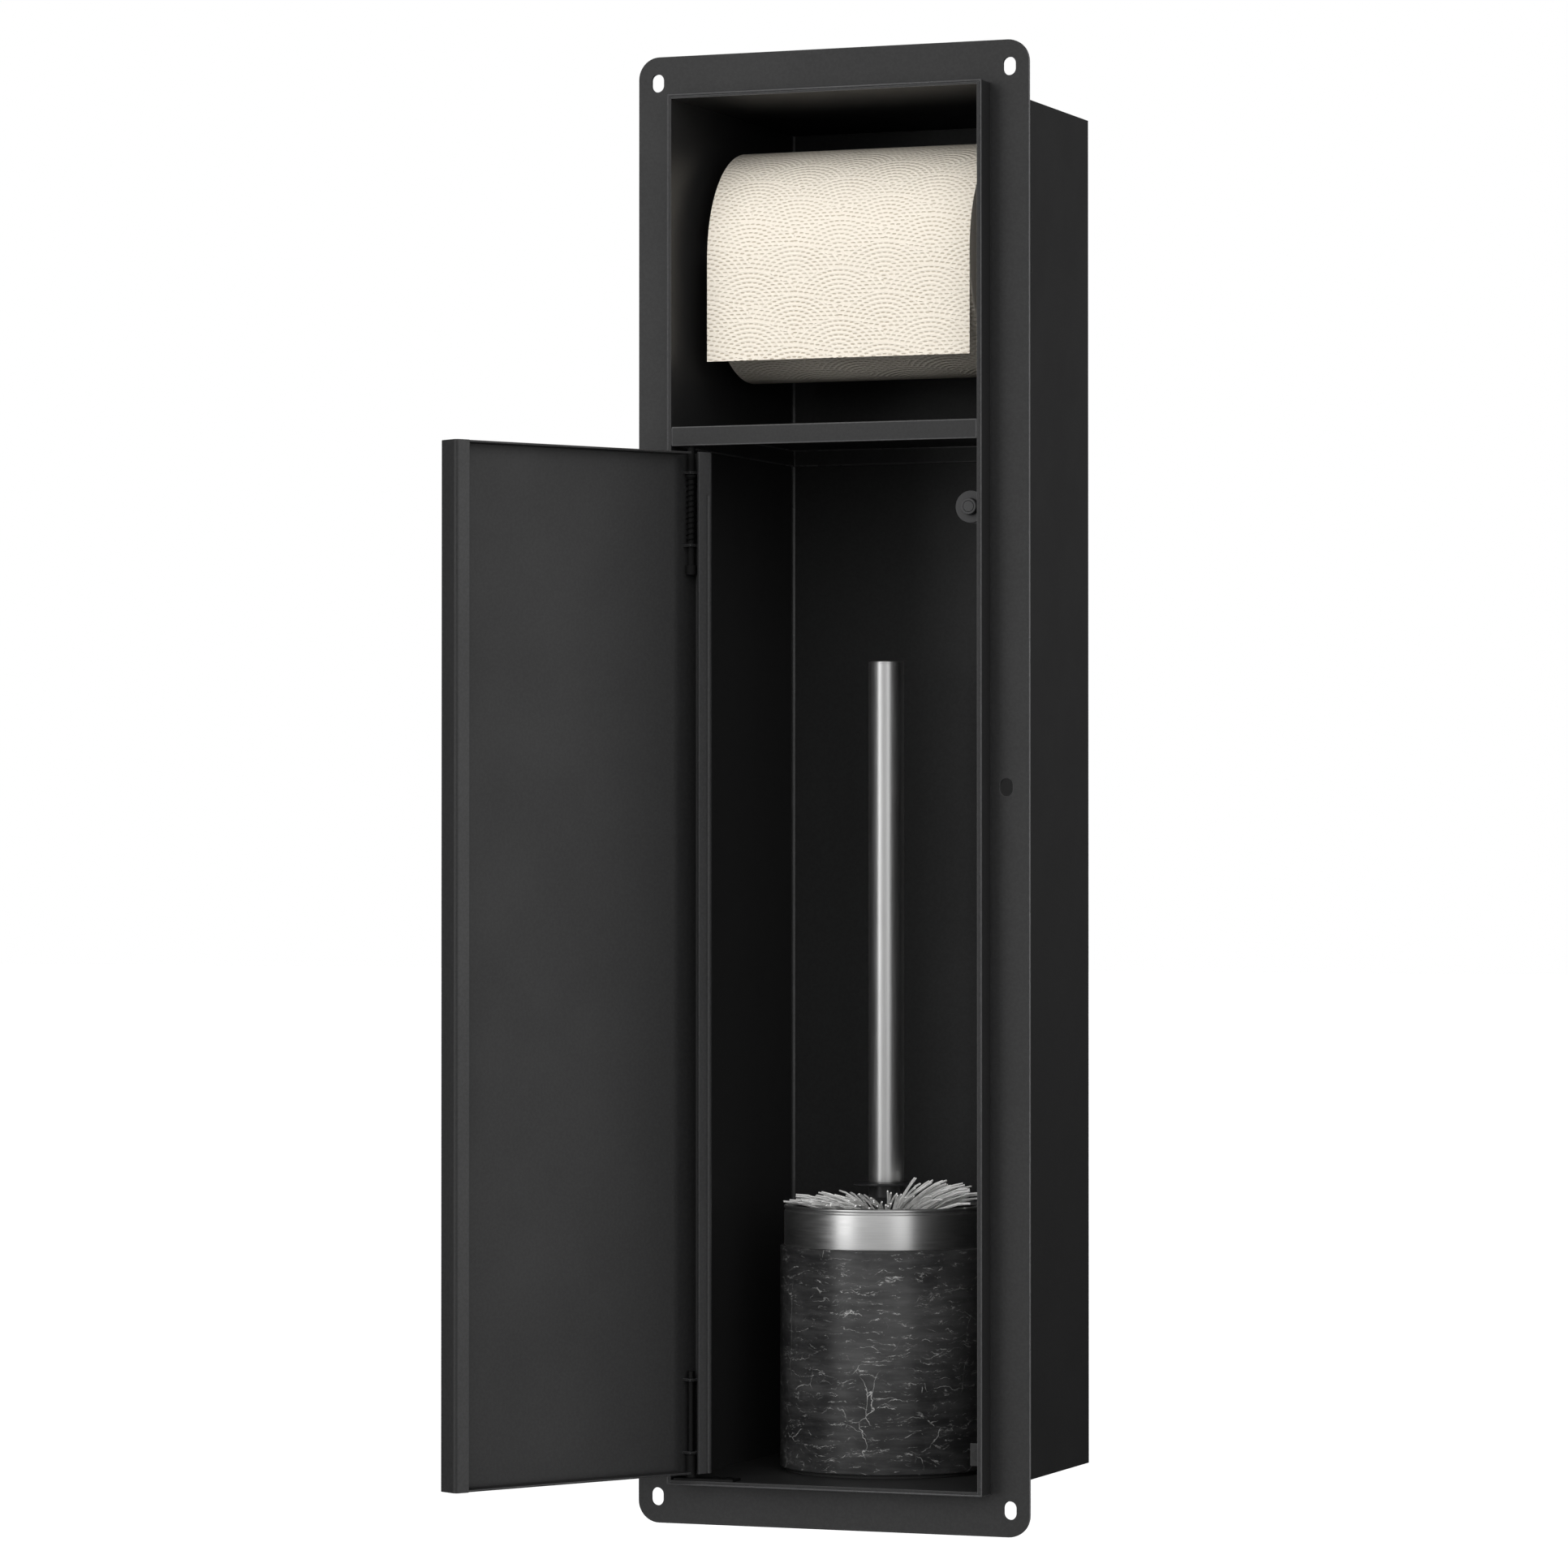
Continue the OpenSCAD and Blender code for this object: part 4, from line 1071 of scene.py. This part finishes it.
class CABINET_OT_paper(bpy.types.Operator):
    """Model the card tube, the wound paper and the last turn with its free end"""

    bl_idname = "cabinet.paper"
    bl_label = "Paper roll"

    def execute(self, context):
        centre = (0, ROLL_Y, ROLL_Z)
        corners = section(TUBE_IN_R, TUBE_R, -ROLL_HALF, ROLL_HALF, 0.0002, 0.0002, 0.0002, 0.0002)
        mount(turned("card_tube", corners, centre, "X", steps=72), "roll", "card", "card_core")
        corners = section(WOUND_IN_R, WOUND_R, -ROLL_HALF, ROLL_HALF, 0.0002, 0.0009, 0.0009, 0.0002)
        wound = turned("wound_paper", corners, centre, "X", steps=128, angle=25)
        mount(wound, "roll", "paper", "paper_roll")
        give_finish(wound, "roll_end", lambda place, normal: (
            abs(normal.x) > 0.5 or (place.yz - Vector((ROLL_Y, ROLL_Z))).length < CUT_END_R))
        self.flat_map(wound)
        sheet = self.last_turn()
        mount(sheet, "roll", "paper", "outer_sheet")
        self.flat_map(sheet)
        return {"FINISHED"}

    def last_turn(self):
        """The last turn, from behind the top of the roll down to its free end."""
        clear_selection()
        bpy.ops.mesh.primitive_grid_add(x_subdivisions=38, y_subdivisions=84, size=2)
        piece = named("free_sheet")
        tail = ROLL_Z - TAIL_Z
        for vertex in piece.data.vertices:
            way = (vertex.co.y + 1) / 2 * (ROLL_R * SHEET_WRAP + tail) - tail
            turn = max(way, 0) / ROLL_R
            vertex.co = (vertex.co.x * ROLL_HALF, ROLL_Y - ROLL_R * math.cos(turn),
                         ROLL_Z + ROLL_R * math.sin(turn) + min(way, 0))
        edit_all(piece)
        face_outwards()
        if sum(polygon.normal.y for polygon in piece.data.polygons if polygon.center.z < ROLL_Z) > 0:
            edit_all(piece)
            bpy.ops.mesh.flip_normals()
            bpy.ops.object.mode_set(mode="OBJECT")
        apply_modifier(piece, "SOLIDIFY", "Plies", thickness=SHEET_T, offset=-1.0)
        smooth(piece, 40)
        return piece

    def flat_map(self, piece):
        """Maps a wound piece by its width and its length along the sheet, in metres."""
        layer = piece.data.uv_layers.new(name="Sheet")
        half_turn = ROLL_R * math.pi
        for polygon in piece.data.polygons:
            middle = self.way_along(polygon.center)
            for loop in polygon.loop_indices:
                place = piece.data.vertices[piece.data.loops[loop].vertex_index].co
                way = self.way_along(place)
                if way - middle > half_turn:
                    way -= 2 * half_turn
                if middle - way > half_turn:
                    way += 2 * half_turn
                layer.data[loop].uv = (place.x, way)

    def way_along(self, place):
        """Length along the sheet from the front of the roll, upwards."""
        front = place.y - ROLL_Y
        if place.z < ROLL_Z and front < -ROLL_R + FRONT_REACH:
            return place.z - ROLL_Z
        return math.atan2(place.z - ROLL_Z, -front) * ROLL_R


class CABINET_OT_spindle(bpy.types.Operator):
    """Model the sprung spindle, its cups and their rivets"""

    bl_idname = "cabinet.spindle"
    bl_label = "Spindle"

    def execute(self, context):
        dress("cabinet", "brushed_steel", 0.0002, {
            "left_roll_cup": "cup_left", "right_roll_cup": "cup_right"})
        dress("cabinet", "zinc_steel", 0.00015, {"cup_rivets": "cup_fixings"}, look="black_coat")
        dress("cabinet", "spindle_plastic", 0.0003, {"spindle_outer_sleeve": "spindle_outer"})
        dress("spindle_slider", "spindle_plastic", 0.0003, {"spindle_inner_sleeve": "spindle_inner"})
        wind("spindle_spring", "spindle_coil", "cabinet", SPINDLE_COIL, "X")
        return {"FINISHED"}


class CABINET_OT_holder(bpy.types.Operator):
    """Model the holder: rubber foot, marbled sleeve, steel ring and liner"""

    bl_idname = "cabinet.holder"
    bl_label = "Brush holder"

    def execute(self, context):
        low, high = [corner.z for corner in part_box("holder_foot")]
        lathe("rubber_foot", section(0, FOOT_R, low, high, 0, 0.0003, 0.0003, 0),
                       "cabinet", "foot_rubber", "holder_foot", closed=False)
        bore = SLEEVE_R - SLEEVE_WALL
        corners = section(bore, SLEEVE_R, SLEEVE_LOW, SLEEVE_TOP, 0.0003, 0.0008, 0.0006, 0.0003)
        lathe("marbled_sleeve", corners, "cabinet", "marble_glaze", "holder_sleeve", steps=160)
        lathe("rolled_ring", self.ring_corners(), "cabinet", "polished_steel", "holder_ring", steps=160)
        low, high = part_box("holder_liner")
        outer, inner, floor_z = high.x, high.x - LINER_WALL, low.z + LINER_FLOOR
        corners = [(0, low.z, 0), (outer, low.z, 0.001), (outer, high.z, 0.0003),
                   (inner, high.z, 0.0003), (inner, floor_z, 0.0015), (0, floor_z, 0)]
        lathe("holder_cup", corners, "cabinet", "liner_plastic", "holder_liner", closed=False, steps=128)
        return {"FINISHED"}

    def ring_corners(self):
        """A ring whose upper edge is rolled over a bead, with a groove under it."""
        middle = RING_TOP - RING_BEAD
        bead = RING_R - RING_BEAD
        rolled = [math.radians(-70 + bite * 250 / 12) for bite in range(13)]
        return [
            (RING_R - RING_T, SLEEVE_TOP, 0), (RING_WALL_R, SLEEVE_TOP, 0.0003),
            (RING_WALL_R, middle - GROOVE_LOW, 0.0002), (RING_WALL_R - GROOVE_DEPTH, middle - GROOVE_HIGH, 0),
            *[(bead + RING_BEAD * math.cos(a), middle + RING_BEAD * math.sin(a), 0) for a in rolled],
            (RING_R - 2 * RING_BEAD, SLEEVE_TOP + 0.008, 0), (RING_R - RING_T, SLEEVE_TOP + 0.006, 0)]


class CABINET_OT_brush(bpy.types.Operator):
    """Model the brush: handle, cap, drip disc, ferrule, bristles and tip"""

    bl_idname = "cabinet.brush"
    bl_label = "Brush"

    def execute(self, context):
        low, high = [corner.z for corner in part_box("brush_handle")]
        bore = HANDLE_R - HANDLE_WALL
        corners = section(bore, HANDLE_R, low, high, 0.0001, 0.0002, 0.00005, 0.0001)
        lathe("handle_tube", corners, "brush", "brushed_steel", "brush_handle")
        low, high = [corner.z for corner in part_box("handle_cap")]
        plug, rim = bore - 0.00005, high - CAP_RIM
        corners = [(0, low, 0), (plug, low, 0.0002), (plug, rim, 0), (HANDLE_R, rim, 0.00005),
                   (HANDLE_R, high - 0.0002, 0.0005), (HANDLE_R * 0.5, high - 0.00004, 0.002), (0, high, 0)]
        lathe("handle_end", corners, "brush", "brushed_steel", "handle_cap", closed=False)
        low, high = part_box("drip_disc")
        corners = section(STEM_R + DISC_GAP, high.x, low.z, high.z, 0, 0.0003, 0.0003, 0)
        lathe("splash_disc", corners, "brush", "disc_plastic", "drip_disc")
        dress("brush", "disc_plastic", 0.0002, {"brush_ferrule": "stem_ferrule"})
        dress("brush", "disc_plastic", 0.0006, {"brush_tip": "stem_tip"})
        self.open_bristles(context.scene.cabinet_brush)
        self.inner_bristles(context.scene.cabinet_brush)
        return {"FINISHED"}

    def stem(self, name, low, high):
        """The plastic core that holds the bristles, between two heights."""
        lathe(name, section(0, STEM_R, low, high, 0, 0, 0, 0), "brush", "disc_plastic",
                       closed=False, steps=32)

    def bundle(self, brush, chance, angle, root, tip, spread, bend=1.0):
        """Bristles of one bundle, from its root on the stem to their tips; bent ones clear the ring's rim."""
        paths = []
        for _ in range(brush.strands):
            swing = angle + chance.gauss(0, spread) / max(tip[0], 0.01)
            reach = min(tip[0] + chance.gauss(-0.001, 0.0014), tip[0] + 0.0006)
            top = tip[1] + chance.gauss(0, spread * 0.55)
            if bend > 1 and reach > RIM_REACH:
                top = max(top, RING_TOP + RIM_CLEAR)
            bow = chance.uniform(0.0, 0.0005)
            path = []
            for t, share in ((0.0, 1.0), (0.3, 1.0), (0.6, 1.0), (0.85, 0.95), (1.0, 0.75)):
                radius = root[0] + (reach - root[0]) * t
                height = root[1] + (top - root[1]) * (1 - (1 - t) ** bend) + bow * 4 * t * (1 - t)
                turn = angle + (swing - angle) * t
                place = Vector((radius * math.cos(turn), HOLDER_Y + radius * math.sin(turn), height))
                path.append((place, share))
            paths.append(path)
        return paths

    def open_bristles(self, brush):
        """The bundles that open over the ring, higher on the right than on the left."""
        chance = random.Random(brush.seed)
        paths = []
        for i in range(brush.tufts):
            t = i / (brush.tufts - 1)
            angle = math.radians(i * BUNDLE_TURN)
            lift = (1 - t) ** 0.6 * (1 - 0.25 * (1 - t) ** 3)
            radius = FAN_IN_R + (FAN_R - FAN_IN_R) * t ** 0.75
            right = max(0.0, math.cos(angle + 0.3)) ** 2
            left = max(0.0, -math.cos(angle - 0.3))
            top = FAN_LOW + (FAN_RISE + FAN_RIGHT * right + FAN_LEFT * left) * lift
            root = (STEM_R - ROOT_DEPTH, STEM_TOP - ROOT_DROP - ROOT_SPAN * t)
            paths += self.bundle(brush, chance, angle, root, (radius, top), 0.0023, 1.05 + 0.85 * t)
        mount(strands("open_bristles", paths, brush.thickness), "brush", "bristle", "bristle_fan")
        self.stem("stem_upper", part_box("bristle_fan")[0].z, STEM_TOP)

    def inner_bristles(self, brush):
        """The bundles inside the holder, four times as many."""
        chance = random.Random(brush.seed + 1)
        bundles = brush.tufts * 4
        paths = []
        for i in range(bundles):
            t = i / (bundles - 1)
            angle = math.radians(i * BUNDLE_TURN)
            z = INNER_HIGH - (INNER_HIGH - INNER_LOW) * t
            tip = (INNER_R, z + (INNER_R - STEM_R) * 0.3 * (1 - t))
            paths += self.bundle(brush, chance, angle, (STEM_R - ROOT_DEPTH, z), tip, 0.0014)
        mount(strands("inner_bristles", paths, brush.thickness), "brush", "bristle", "bristle_body")
        self.stem("stem_lower", STEM_LOW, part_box("bristle_fan")[0].z)


OPERATORS = (
    CABINET_OT_camera,
    CABINET_OT_stage,
    CABINET_OT_flange,
    CABINET_OT_box,
    CABINET_OT_door,
    CABINET_OT_pivots,
    CABINET_OT_latch,
    CABINET_OT_stop,
    CABINET_OT_paper,
    CABINET_OT_spindle,
    CABINET_OT_holder,
    CABINET_OT_brush,
)


class CABINET_PT_panel(bpy.types.Panel):
    """Lists the cabinet's pieces and their settings"""

    bl_idname = "CABINET_PT_panel"
    bl_label = "Toilet roll cabinet"
    bl_space_type = "VIEW_3D"
    bl_region_type = "UI"
    bl_category = "Cabinet"

    def draw(self, context):
        for operator in OPERATORS:
            self.layout.operator(operator.bl_idname)
        for key, group in SETTINGS.items():
            box = self.layout.box()
            box.label(text=group.__doc__)
            for setting in group.__annotations__:
                box.prop(getattr(context.scene, key), setting)


def register():
    for group in SETTINGS.values():
        bpy.utils.register_class(group)
    for key, group in SETTINGS.items():
        setattr(bpy.types.Scene, key, bpy.props.PointerProperty(type=group))
    for operator in OPERATORS:
        bpy.utils.register_class(operator)
    bpy.utils.register_class(CABINET_PT_panel)


def unregister():
    bpy.utils.unregister_class(CABINET_PT_panel)
    for operator in reversed(OPERATORS):
        bpy.utils.unregister_class(operator)
    for key, group in reversed(SETTINGS.items()):
        delattr(bpy.types.Scene, key)
        bpy.utils.unregister_class(group)


def main():
    register()
    for operator in OPERATORS:
        group, name = operator.bl_idname.split(".")
        getattr(getattr(bpy.ops, group), name)()
    clear_selection()


if __name__ == "__main__":
    main()
